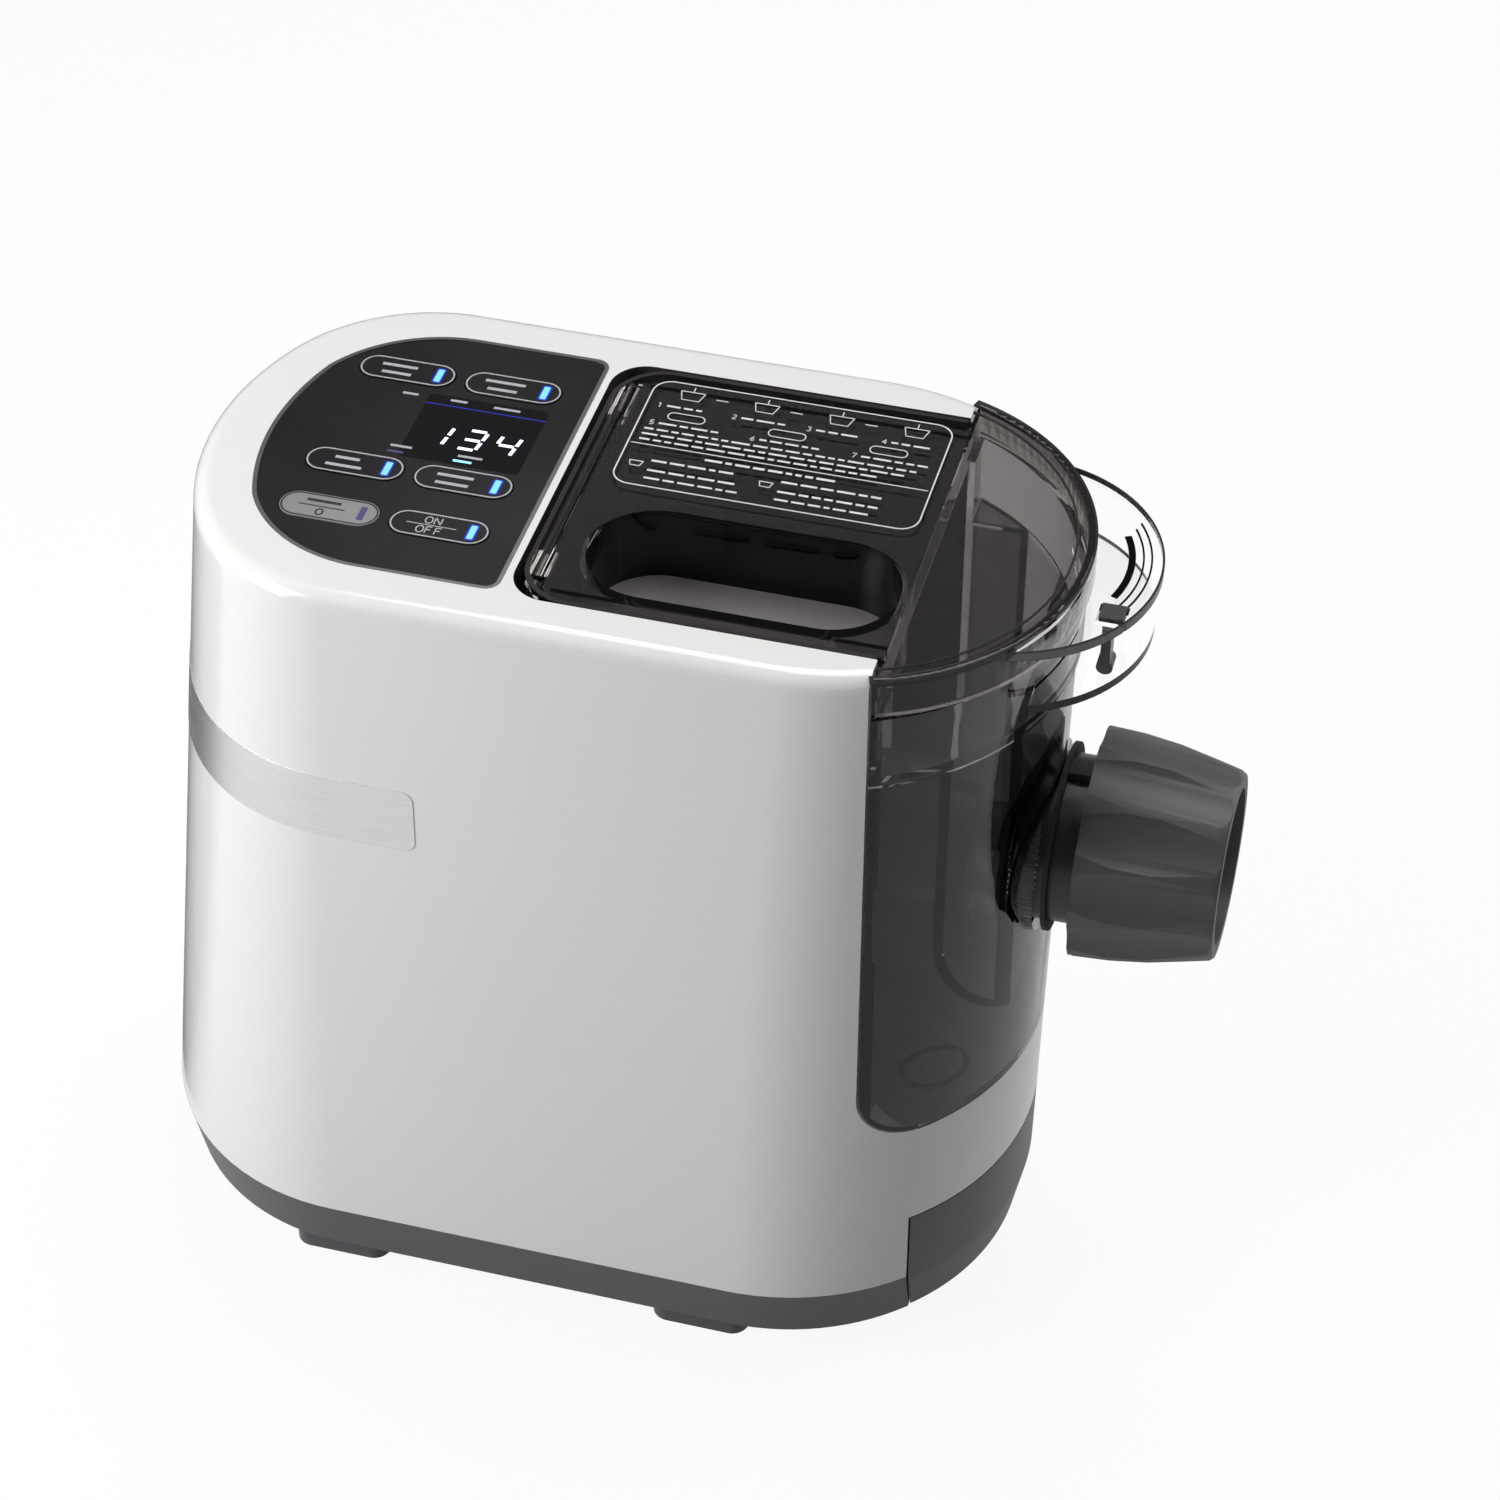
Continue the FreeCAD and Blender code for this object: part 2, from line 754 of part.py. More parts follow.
def make_bowl():
    wall = float(S.bowl_wall)
    rim = S.bowl_rim
    shelf = S.collar_low
    front = S.trough_front
    apron_low = S.bay_floor + 0.4
    band = cut(
        "apron_band",
        common(
            "apron_slice", body_loft("apron_out", 0.0),
            box("apron_span", bowl_face, far, -far, far, apron_low, shelf),
        ),
        cut(
            "apron_room", body_loft("apron_in", wall),
            box("apron_side", 0, bowl_face + wall, -far, far, 0, 400),
            box("apron_top", 0, far, -far, far, shelf - wall, 400),
        ),
        prism("apron_heel", heel_shape(), -120, 120, "xz"),
    )
    collar = common(
        "collar", body_loft("collar_out", -float(S.collar_step)),
        box("collar_span", bowl_face, far, -far, far, shelf - wall, rim),
    )
    flange_shape = rounded_rectangle(bowl_back, 84, -half_bay + 0.7, half_bay - 0.7, S.bay_corner)
    runners = [
        box("runner_%d" % n, bowl_back + 3, 77, y, y + 3, S.bay_floor + 0.05, 138.5)
        for n, y in enumerate((30, -33))
    ]
    ears = []
    for n, y in enumerate((50.4, -54.4)):
        ears.append(box("ear_%d" % n, S.hinge_x - 3.3, S.hinge_x + 3.3, y, y + 4, rim - 3, S.hinge_height))
        ears.append(rod("ear_top_%d" % n, 3.3, y, y + 4, z=S.hinge_height, x=S.hinge_x, along="y"))
    tab = rod("bowl_tab", S.handle_radius - 1.5, 274, 277, x=S.handle_centre, along="z")
    tab_front = common("tab_front", tab, box("tab_span", 122, far, -far, far, 270, 280))
    solid = fuse(
        "bowl_solid",
        common(
            "trough_shell", trough("trough_out", 0.0, bowl_back, front, float(rim)),
            body_loft("trough_limit", 0.0),
        ),
        band, collar,
        prism("rim_flange", flange_shape, rim - 3, rim),
        rod("barrel_boss", 31.5, front - 1, 125, 0, axle), tab_front, *(runners + ears)
    )
    wide = cut(
        "collar_room", body_loft("collar_in", 2.0),
        box("collar_back", 0, bowl_face + wall, -far, far, 0, 400),
        box("collar_under", 0, far, -far, far, 0, shelf),
    )
    bowl = cut(
        "mixing_bowl", solid,
        cut("trough_room", trough_inside(wall, front), *ear_keep()),
        wide,
        rod("barrel_hole", S.barrel_radius, 100, 140, 0, axle),
        rod("rear_hole", 9.5, -60, -25, 0, axle),
        rod("ear_bore", 1.6, -70, 70, z=S.hinge_height, x=S.hinge_x, along="y"),
    )
    return bowl


def trough_inside(wall, front):
    room = trough("trough_in", wall, bowl_back + wall, front - wall, 299.0)
    return common("trough_bounds", room, body_loft("trough_in_limit", wall))


def heel_shape():
    # what is left outside the round lower corner of the front opening
    x = float(bowl_face)
    z = float(S.bay_floor) + 0.4
    r = float(S.mouth_round) - 0.6
    back = r * (1 - math.sqrt(0.5))
    return [
        line((x - 5, z - 5), (x + r, z - 5)),
        line((x + r, z - 5), (x + r, z)),
        arc((x + r, z), (x + back, z + back), (x, z + r)),
        line((x, z + r), (x - 5, z + r)),
        line((x - 5, z + r), (x - 5, z - 5)),
    ]


def ear_keep():
    low = S.bowl_rim - 3
    return [
        box("ear_keep_%d" % n, S.hinge_x - 3.3, S.hinge_x + 3.3, y, y + 4, low, 310)
        for n, y in enumerate((50.4, -54.4))
    ]


def make_extruder():
    barrel_tube = turned(
        "barrel_tube",
        [(S.trough_front - S.bowl_wall - 3, S.barrel_bore), (S.trough_front - S.bowl_wall - 3, 33),
         (S.trough_front - S.bowl_wall, 33), (S.trough_front - S.bowl_wall, S.barrel_radius),
         (S.barrel_end, S.barrel_radius), (S.barrel_end, S.barrel_bore)],
        axle,
    )
    ridge = box("barrel_key", 129.3, 137.2, -3.6, 3.6, axle + 26, axle + 30.6)
    barrel = fuse("extruder_barrel", barrel_tube, ridge, *lugs("barrel_lug", 27, 31, 157.5, 163, 0))
    seal = ring("barrel_seal", 31, S.barrel_radius, 127.5, 129.1, axle)
    slots = []
    for n in range(10):
        slot = prism("die_slot_%d" % n, polygon([(-0.9, 9), (0.9, 9), (0.9, 20), (-0.9, 20)]), 160, 190, "yz")
        slot.Placement = FreeCAD.Placement(V(0, 0, float(axle)), FreeCAD.Rotation(V(1, 0, 0), 36 * n))
        slots.append(slot)
    disc_blank = rod("disc_blank", 27.4, S.barrel_end, S.barrel_end + S.die_thick, 0, axle)
    disc = cut("shaping_disc", disc_blank, *slots)
    front = S.nut_front
    lip = S.barrel_end + S.die_thick + 0.3
    blank = turned(
        "nut_blank",
        [(S.nut_rear, 31.6), (S.nut_rear, S.nut_rear_radius), (S.nut_rear + 12, S.nut_rear_radius - 0.2),
         (S.nut_rear + 24, S.nut_rear_radius - 1.7), (S.nut_rear + 35, S.nut_rear_radius - 4.4),
         (front - 1.5, S.nut_front_radius + 0.5), (front, S.nut_front_radius - 0.8), (front, 25.5),
         (lip, 25.5), (lip, 28), (165, 28), (165, 31.6)],
        axle,
    )
    flutes = []
    for n in range(12):
        flute = doc.addObject("Part::Cylinder", "nut_flute_%d" % n)
        flute.Radius = 22.0
        flute.Height = 60.0
        away = float(S.nut_rear_radius) + 21.6
        lean = FreeCAD.Placement(V(float(S.nut_rear) - 6, 0, away), FreeCAD.Rotation(V(0, 1, 0), 98))
        spin = FreeCAD.Placement(V(0, 0, float(axle)), FreeCAD.Rotation(V(1, 0, 0), n * 30 + 15))
        flute.Placement = spin.multiply(lean)
        flutes.append(flute)
    nut = fuse("extruder_nut", cut("nut_body", blank, *flutes), *lugs("nut_lug", 28.3, 32.4, 149.5, 157, 0))
    return [barrel, seal, disc, nut]


def lugs(name, inside, outside, start, end, turn):
    made = []
    for n in range(2):
        piece = doc.addObject("Part::Cylinder", "%s_%d_out" % (name, n))
        piece.Radius = outside
        piece.Height = end - start
        piece.Angle = 64
        aim = FreeCAD.Rotation(V(1, 0, 0), turn + 180 * n)
        piece.Placement = FreeCAD.Placement(V(start, 0, float(axle)), aim.multiply(TURN_TO_X))
        core = rod("%s_%d_in" % (name, n), inside, start - 1, end + 1, 0, axle)
        made.append(cut("%s_%d" % (name, n), piece, core))
    return made


def make_auger():
    start = bowl_back + 0.2
    core = turned(
        "screw_core",
        [(start, 0), (start, 8), (bowl_back + S.bowl_wall + 0.4, 8), (bowl_back + S.bowl_wall + 0.4, 11),
         (-8, 11), (-6, 8), (108, 8), (112, S.screw_root), (166, S.screw_root), (169.5, 6), (169.5, 0)],
        axle,
    )
    flight = doc.addObject("Part::Feature", "screw_flight")
    low = float(S.screw_root) - 0.6
    high = float(S.screw_radius)
    pitch = float(S.screw_pitch)
    turns = 2
    steps = 20
    sections = []
    for n in range(turns * steps + 1):
        section = Part.makePolygon(
            [V(low, 0, -1.8), V(high, 0, -1.0), V(high, 0, 1.0), V(low, 0, 1.8), V(low, 0, -1.8)]
        )
        section.rotate(V(), V(0, 0, 1), 360 * n / steps)
        section.translate(V(0, 0, pitch * n / steps))
        sections.append(section)
    flight.Shape = Part.makeLoft(sections, True, True)
    flight.Placement = FreeCAD.Placement(V(115, 0, float(axle)), TURN_TO_X)
    socket = prism("screw_socket", hexagon(float(S.dog_radius) + 0.09, axle), -50, -13.5, "yz")
    screw = cut("extruder_screw", fuse("screw_solid", core, flight), socket)
    hub = ring("paddle_hub", 12.5, 8.02, -2, 100, axle)
    parts = [hub]
    for n, (x, side) in enumerate([(2, 1), (34, -1), (62, 1), (94, -1)]):
        reach = sorted((float(axle) + side * 10, float(axle) + side * 50))
        parts.append(box("paddle_arm_%d" % n, x - 4, x + 4, -5, 5, reach[0], reach[1]))
    for n, (x0, x1, side) in enumerate([(-2, 66, 1), (30, 98, -1)]):
        reach = sorted((float(axle) + side * 43, float(axle) + side * 51))
        parts.append(box("paddle_bar_%d" % n, x0, x1, -5, 5, reach[0], reach[1]))
    paddle = fuse("kneading_paddle", *parts)
    bush = ring("bowl_bush", 9.5, 8.04, bowl_back + 0.1, bowl_back + S.bowl_wall, axle)
    return [screw, paddle, bush]


# Lid: clear cover with a water basin, an inner wall each side and a front handle

def make_lid():
    thick = S.lid_thick
    lid_top = S.lid_top
    low = lid_top - thick
    half = S.lid_width / 2
    skirt_low = S.bowl_rim + 0.4
    back_shape = rounded_rectangle(S.lid_rear, bowl_face + 12, -half, half, S.lid_corner)
    basin_r = (S.basin_far - S.basin_near) / 2
    stadium = rounded_rectangle(S.basin_rear, S.basin_front, S.basin_near, S.basin_far, float(basin_r) - 0.05)
    basin_in = rounded_rectangle(
        S.basin_rear + 2, S.basin_front - 2, S.basin_near + 2, S.basin_far - 2, float(basin_r) - 2.05
    )
    front_half = box("front_half", bowl_face, far, -far, far, 200, 400)
    lid_round = rod("lid_round", S.rim_radius, skirt_low, lid_top, x=S.rim_centre, along="z")
    cap = common("lid_cap", lid_round, front_half)
    bead = doc.addObject("Part::Torus", "rim_bead")
    bind(bead, "Radius1", S.rim_radius - 1.8)
    bead.Radius2 = 1.8
    put(bead, S.rim_centre, 0, lid_top - 1.4)
    handle_disc = rod("handle_disc", S.handle_radius, low - 1, low + 2, x=S.handle_centre, along="z")
    walls = []
    for n, side in enumerate((1, -1)):
        near, away = sorted((side * 61.2, side * 59.2))
        skirt_rear = S.lid_rear + S.lid_corner
        walls.append(box("lid_skirt_%d" % n, skirt_rear, bowl_face + 1, near, away, skirt_low, lid_top - 1))
        near, away = sorted((side * 54.6, side * 52.8))
        wall_rear = S.hinge_x + 6
        walls.append(box("lid_wall_%d" % n, wall_rear, bowl_face + 1, near, away, 280, lid_top - 1))
        near, away = sorted((side * 36.0, side * 49.9))
        walls.append(rod("lid_knuckle_%d" % n, 3.3, near, away, z=S.hinge_height, x=S.hinge_x, along="y"))
    solid = fuse(
        "lid_solid", prism("lid_plate", back_shape, low, lid_top), cap,
        common("bead_front", bead, box("bead_half", bowl_face, far, -far, far, 200, 400)),
        common("handle_front", handle_disc, box("handle_half", 110, far, -far, far, 200, 400)),
        prism("basin_out", stadium, S.basin_floor, lid_top), *walls
    )
    cap_room = common(
        "cap_room", rod("cap_hollow", S.rim_radius - 2.4, 200, low, x=S.rim_centre, along="z"),
        box("cap_span", bowl_face + 1, far, -far, far, 200, 400),
    )
    basin_keep = prism("basin_keep", stadium, 100, 400)
    notches = [
        box("ear_notch_%d" % n, -60, S.hinge_x + 4.1, y - 0.5, y + 4.5, 280, 310)
        for n, y in enumerate((50.4, -54.4))
    ]
    slots = [
        prism("water_slot_%d" % n, rounded_rectangle(x, x + 18, -34.5, -31, 1.7), 250, 290)
        for n, x in enumerate((2, 24, 46))
    ]
    return cut(
        "lid", solid, cut("cap_void", cap_room, basin_keep),
        prism("basin_room", basin_in, S.basin_floor + 2, 400),
        rod("knuckle_bore", 1.66, -70, 70, z=S.hinge_height, x=S.hinge_x, along="y"),
        box("latch_slot", 137.5, 146.5, -25.2, -16.8, 290, 310),
        *(notches + slots)
    )


def make_latch():
    pin = S.lid_top - 2.4
    stem = box("latch_stem", 139.5, 142.5, -24, -18, 279, S.lid_top - 0.8)
    pad = box("latch_pad", 138.2, 145.8, -24.4, -17.6, S.lid_top - 2.6, S.lid_top + 0.2)
    knob = rod("latch_knob", 2.6, -24, -18, z=280, x=141, along="y")
    trunnion = rod("latch_trunnion", 1.6, -25, -17, z=pin, x=141, along="y")
    return fuse("lid_latch", stem, pad, knob, trunnion)


def make_hinge_pins():
    pins = [
        rod("hinge_pin_%d" % n, 1.6, y, y + 16.4, z=S.hinge_height, x=S.hinge_x, along="y")
        for n, y in enumerate((38.0, -54.4))
    ]
    return group("lid_hinge_pins", *pins)


# Accessory drawer in the front of the base

def make_drawer():
    low = S.floor_gap + 1
    high = S.drawer_top - 0.1
    face = split + 0.6
    skin = fuse("front_skin", body_loft("front_upper", 0.0), base_loft("front_lower", 0.0))
    back = fuse("front_back", body_loft("back_upper", 3.0), base_loft("back_lower", 3.0))
    span = box("front_span", face, far, -far, far, low, high)
    front = cut("drawer_front", common("front_slice", skin, span), back)
    half = S.drawer_width / 2
    wall = S.drawer_wall
    nose = fuse("nose_fit", body_loft("nose_upper", 3.0), base_loft("nose_lower", 3.0))
    inner_nose = fuse("inner_nose", body_loft("inner_upper", 5.0), base_loft("inner_lower", 5.0))
    rear = S.base_nose - S.drawer_depth
    block = common("tray_block", nose, box("tray_out", rear, far, -half, half, 16.1, 58))
    room = common(
        "tray_room", inner_nose, box("tray_in", rear + wall, far, -half + wall, half - wall, 16.1 + wall, 80)
    )
    tray = cut("drawer_tray", block, room)
    rails = group(
        "drawer_rails",
        box("rail_left", -8, 92, -46, -42, S.floor_gap + 2.5, 16.0),
        box("rail_right", -8, 92, 42, 46, S.floor_gap + 2.5, 16.0),
    )
    return [front, tray, rails]


# Electrical pieces and fasteners

def make_services():
    board = box("power_board_plate", -30, 62, 70.0, 71.6, 40, 92)
    parts = [
        board, box("power_coil", -22, 0, 56, 70.5, 50, 74), box("power_relay", 36, 54, 58, 70.5, 50, 66),
        rod("power_cap", 8, 52, 70.5, z=64, x=20, along="y"),
    ]
    power = fuse("power_board", *parts)
    bushing = ring("cord_bushing", 8, 3.6, -182.6, -171, 48)
    switch = box("lid_switch", -34, -14, 64.4, 70.4, 268, 282)
    screws = []
    for n, (x, y) in enumerate([(-140, -30), (-140, 30), (-20, -68), (-20, 68), (80, -50), (80, 50)]):
        screws.append(rod("base_screw_%d" % n, 3.5, 10.6, S.floor_gap, x=x, y=y, along="z"))
    return [power, bushing, switch, group("base_screws", *screws)]


FEET = {
    "rear_left": (-104.0, -66.0),
    "rear_right": (-104.0, 66.0),
    "front_left": (26.0, -66.0),
    "front_right": (26.0, 66.0),
}
BOARD_POSTS = [(-117, 28), (-117, -28), (-50, 46), (-50, -46)]

nodes = [make_housing(), make_trim_band(), make_base()]
nodes += make_feet()
nodes += make_panel()
nodes += make_gear_train()
nodes += [make_bowl()]
nodes += make_extruder()
nodes += make_auger()
nodes += [make_lid(), make_latch(), make_hinge_pins()]
nodes += make_drawer()
nodes += make_services()

doc.recompute()

# Every object is sound before anything is written

for obj in doc.Objects:
    if "Invalid" in obj.State or "Error" in obj.State:
        raise RuntimeError("%s is %s" % (obj.Name, obj.State))
for node in nodes:
    if node.Shape.isNull() or not node.Shape.isValid() or not node.Shape.Solids:
        raise RuntimeError("%s has no sound shape" % node.Label)

os.makedirs("parts", exist_ok=True)
for node in nodes:
    node.Shape.exportStep("parts/%s.step" % node.Label)
    print(node.Label, len(node.Shape.Solids), round(node.Shape.Volume))
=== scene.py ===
import json
import math
import bpy
import bmesh
import numpy as np
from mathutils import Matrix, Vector


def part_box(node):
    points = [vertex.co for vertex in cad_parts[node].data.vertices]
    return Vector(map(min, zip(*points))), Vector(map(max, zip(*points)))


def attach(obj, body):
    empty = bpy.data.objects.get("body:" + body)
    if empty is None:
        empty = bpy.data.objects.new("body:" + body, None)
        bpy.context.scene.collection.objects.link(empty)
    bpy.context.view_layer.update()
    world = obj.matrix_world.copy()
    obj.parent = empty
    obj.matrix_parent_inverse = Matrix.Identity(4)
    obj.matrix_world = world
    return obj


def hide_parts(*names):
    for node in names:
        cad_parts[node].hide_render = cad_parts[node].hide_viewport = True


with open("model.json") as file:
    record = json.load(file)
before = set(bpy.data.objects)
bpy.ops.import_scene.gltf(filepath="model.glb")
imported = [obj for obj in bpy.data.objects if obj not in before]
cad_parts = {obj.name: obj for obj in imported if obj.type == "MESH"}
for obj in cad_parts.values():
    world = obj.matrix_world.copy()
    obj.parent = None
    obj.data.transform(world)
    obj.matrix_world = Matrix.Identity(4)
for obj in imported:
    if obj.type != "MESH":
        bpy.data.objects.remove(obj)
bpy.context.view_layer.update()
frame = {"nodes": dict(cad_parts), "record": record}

nodes = frame["nodes"]
print("frame loaded:", len(nodes), "nodes")

# Camera, floor and lamps

camera = {
    "azimuth": 15.16, "elevation": 41.34, "roll": 0.12,
    "target": (0.0152, 0.0322, 0.1700), "distance": 1.3412,
    "sensor": 36.0, "lens": 95.75, "near": 0.05, "far": 50.0,
}
lamps = {
    "key": {"at": (-0.86, -0.60, 0.62), "aim": (-0.12, -0.05, 0.17), "size": (0.6, 0.8), "watts": 12.3},
    "top": {"at": (0.10, 0.45, 1.55), "aim": (0.0, 0.0, 0.25), "size": (1.2, 0.8), "watts": 13.5},
    "rim": {"at": (0.95, 0.85, 0.75), "aim": (0.05, 0.0, 0.2), "size": (0.6, 0.8), "watts": 5.0},
    "fill": {"at": (1.15, -0.75, 0.75), "aim": (0.15, 0.0, 0.18), "size": (0.35, 0.8), "watts": 0.5},
}
surround = {
    "floorHalf": 6.0, "floorWhite": 0.40, "floorRough": 0.85, "glow": 0.12, "backdrop": 1.12,
    "shadowHold": 0.82, "mirrorShare": 0.35, "paintedReflectionTone": 0.03,
    # where the floor's dark patch lies, a painted reflection for the trim band; its tone is the last value
    # above
    "paintedReflectionFrom": -0.06, "paintedReflectionSpan": 0.05, "paintedReflectionLeft": -0.20,
}


def aimed(obj, at, aim):
    # the object's -Z axis runs from its place to the aim, with Y up
    obj.location = at
    obj.rotation_euler = (Vector(aim) - Vector(at)).to_track_quat("-Z", "Y").to_euler()


def makeCamera(c):
    # the camera stands its distance back from the target, along the azimuth and elevation
    az, el = math.radians(c["azimuth"]), math.radians(c["elevation"])
    back = Vector((math.sin(az) * math.cos(el), -math.cos(az) * math.cos(el), math.sin(el)))
    data = bpy.data.cameras.new("camera")
    data.sensor_width = c["sensor"]
    data.lens = c["lens"]
    data.clip_start, data.clip_end = c["near"], c["far"]
    obj = bpy.data.objects.new("camera", data)
    bpy.context.scene.collection.objects.link(obj)
    aimed(obj, Vector(c["target"]) + back * c["distance"], c["target"])
    obj.rotation_euler.rotate_axis("Z", math.radians(c["roll"]))
    bpy.context.scene.camera = obj


def makeLamps(settings):
    for name, lamp in settings.items():
        data = bpy.data.lights.new(name, "AREA")
        data.shape = "RECTANGLE"
        data.size, data.size_y = lamp["size"]
        data.energy = lamp["watts"]
        obj = bpy.data.objects.new(name + "Lamp", data)
        bpy.context.scene.collection.objects.link(obj)
        aimed(obj, lamp["at"], lamp["aim"])


# Shader maths: a Wire is one socket, and an expression on Wires adds the Math nodes

noiseMiddle = (0.3, 0.7)


class Wire:
    def __init__(self, owner, socket):
        self.owner, self.socket = owner, socket

    def do(self, operation, first, second):
        return self.owner.node("ShaderNodeMath", {"operation": operation}, [first, second])

    def __add__(self, other):
        return self.do("ADD", self, other)

    def __radd__(self, other):
        return self.do("ADD", other, self)

    def __sub__(self, other):
        return self.do("SUBTRACT", self, other)

    def __rsub__(self, other):
        return self.do("SUBTRACT", other, self)

    def __mul__(self, other):
        return self.do("MULTIPLY", self, other)

    def __rmul__(self, other):
        return self.do("MULTIPLY", other, self)

    def __lt__(self, other):
        return self.do("LESS_THAN", self, other)

    def __gt__(self, other):
        return self.do("GREATER_THAN", self, other)


class Nodes:
    def __init__(self, tree):
        self.tree = tree

    def node(self, kind, settings=None, inputs=(), out=0):
        # a node of a kind with its settings first, then the values or wires of its sockets
        made = self.tree.nodes.new(kind)
        for key, value in (settings or {}).items():
            if key == "stops":
                elements = made.color_ramp.elements
                elements.remove(elements[-1])
                elements[0].position, elements[0].color = value[0]
                for position, colour in value[1:]:
                    elements.new(position).color = colour
            else:
                setattr(made, key, value)
        pairs = inputs.items() if isinstance(inputs, dict) else enumerate(inputs)
        for key, value in pairs:
            self.feed(made.inputs[key], value)
        return Wire(self, made.outputs[out])

    def feed(self, socket, value):
        if isinstance(value, Wire):
            self.tree.links.new(value.socket, socket)
        else:
            socket.default_value = value


class Finish(Nodes):
    def __init__(self, name):
        self.material = bpy.data.materials.new(name)
        self.material.use_nodes = True
        super().__init__(self.material.node_tree)
        self.shader = self.tree.nodes["Principled BSDF"]
        self.output = self.tree.nodes["Material Output"]

    def set(self, **values):
        for key, value in values.items():
            self.feed(self.shader.inputs[key.replace("_", " ")], value)

    def place(self, scale=(1, 1, 1)):
        coords = self.node("ShaderNodeTexCoord", out="Object")
        return self.node("ShaderNodeMapping", {}, {"Vector": coords, "Scale": scale})

    def noise(self, scale, detail, place=None, rough=0.5):
        inputs = {"Vector": place or self.place(), "Scale": scale, "Detail": detail, "Roughness": rough}
        return self.node("ShaderNodeTexNoise", {}, inputs)

    def ramp(self, value, *stops):
        # a blend between colours placed along 0 to 1
        placed = [(position, opaque(colour)) for position, colour in stops]
        return self.node("ShaderNodeValToRGB", {"stops": placed}, [value])

    def spread(self, value, low, high):
        # the noise's middle range carried onto low to high
        start, end = noiseMiddle
        inputs = {"Value": value, "From Min": start, "From Max": end, "To Min": low, "To Max": high}
        return self.node("ShaderNodeMapRange", {}, inputs)

    def bump(self, height, strength, depth):
        inputs = {"Height": height, "Strength": strength, "Distance": depth}
        return self.node("ShaderNodeBump", {}, inputs)


finishes = {}


def finish(name):
    made = Finish(name)
    finishes[name] = made.material
    return made


def opaque(colour):
    return (*colour, 1.0)


def grey(level):
    return (level, level, level)


def shade(colour, factor):
    return tuple(min(1.0, c * factor) for c in colour)


def shades(colour, low, high):
    return shade(colour, low), shade(colour, high)


def makeFloor(s):
    # a matt floor that glows to the camera and through clear parts, and to mirrors outside a dark patch; that
    # patch, seen only by mirrors, paints a dark reflection into the trim band
    bpy.ops.mesh.primitive_plane_add(size=2 * s["floorHalf"])
    floor = bpy.context.object
    floor.name = "floor"
    made = finish("paleFloor")
    white = grey(s["floorWhite"])
    made.set(Roughness=s["floorRough"])
    glow = made.node("ShaderNodeEmission", {}, {"Color": opaque(grey(1)), "Strength": s["backdrop"]})
    seen = made.node("ShaderNodeLightPath", out="Is Camera Ray")
    clear = made.node("ShaderNodeLightPath", out="Is Transmission Ray")
    mirrored = made.node("ShaderNodeLightPath", out="Is Glossy Ray")
    spot = made.place()
    across = made.node("ShaderNodeSeparateXYZ", {}, [spot], 0)
    deep = made.node("ShaderNodeSeparateXYZ", {}, [spot], 1)
    # the patch for the painted reflection lies behind a line across Y and left of a line across X
    edge = {"Value": deep, "From Min": s["paintedReflectionFrom"], "From Max": s["paintedReflectionFrom"] + s["paintedReflectionSpan"]}
    behind = made.node("ShaderNodeMapRange", {}, edge)
    outsidePaintedReflection = 1 - behind * (across < s["paintedReflectionLeft"])
    part = seen * s["shadowHold"] + clear * s["shadowHold"] + mirrored * outsidePaintedReflection * s["mirrorShare"]
    # glossy rays inside the patch see the floor's colour turned dark: the painted reflection
    dark = mirrored * (1 - outsidePaintedReflection)
    made.set(Base_Color=made.ramp(dark, (0.0, white), (1.0, grey(s["paintedReflectionTone"]))))
    shader = Wire(made, made.shader.outputs[0])
    mixed = made.node("ShaderNodeMixShader", {}, [part, shader, glow])
    made.tree.links.new(mixed.socket, made.output.inputs["Surface"])
    floor.data.materials.append(made.material)


def makeWorld(s):
    # strength is the glow, and the whole backdrop for camera rays and rays through clear parts
    world = bpy.data.worlds.new("studio")
    bpy.context.scene.world = world
    world.use_nodes = True
    sky = Nodes(world.node_tree)
    back = sky.tree.nodes["Background"]
    seen = sky.node("ShaderNodeLightPath", out="Is Camera Ray")
    clear = sky.node("ShaderNodeLightPath", out="Is Transmission Ray")
    sky.feed(back.inputs["Color"], opaque(grey(1)))
    sky.feed(back.inputs["Strength"], (seen + clear) * (s["backdrop"] - s["glow"]) + s["glow"])


makeCamera(camera)
makeLamps(lamps)
makeFloor(surround)
makeWorld(surround)
bpy.context.scene.view_settings.view_transform = "Standard"
print("studio ready")

# Finishes: two tones run by a noise of a scale and detail, a roughness or its range, a bump's strength
# and depth with its own grain where it has one, and what the shader needs besides

tint = {
    "shell": (0.80, 0.795, 0.78), "grey": (0.082, 0.084, 0.094), "nut": (0.082, 0.080, 0.086),
    "panel": (0.006, 0.006, 0.008), "silver": (0.24, 0.24, 0.25), "steel": (0.60, 0.60, 0.61),
    "bowl": (0.250, 0.237, 0.242), "collar": (0.42, 0.40, 0.405), "lid": (0.47, 0.44, 0.432),
    "clear": (0.93, 0.925, 0.93), "board": (0.02, 0.11, 0.05), "rubber": (0.018, 0.018, 0.018),
    "nylon": (0.62, 0.60, 0.55), "paddle": (0.035, 0.035, 0.037),
}
metal = {"Metallic": 1.0}


def satin(colour, low, high):
    # moulded plastic with a fine grain
    return {
        "tones": shades(tint[colour], 0.93, 1.07), "noise": (14.0, 3.0), "rough": (low, high),
        "grain": (2600.0, 1.0), "bump": (0.12, 0.0002),
    }


def sleek(colour, low, high):
    # a smooth face with hardly any grain
    return {
        "tones": shades(tint[colour], 0.9, 1.1), "noise": (20.0, 2.0), "rough": (low, high),
        "grain": (3500.0, 1.0), "bump": (0.05, 0.0001),
    }


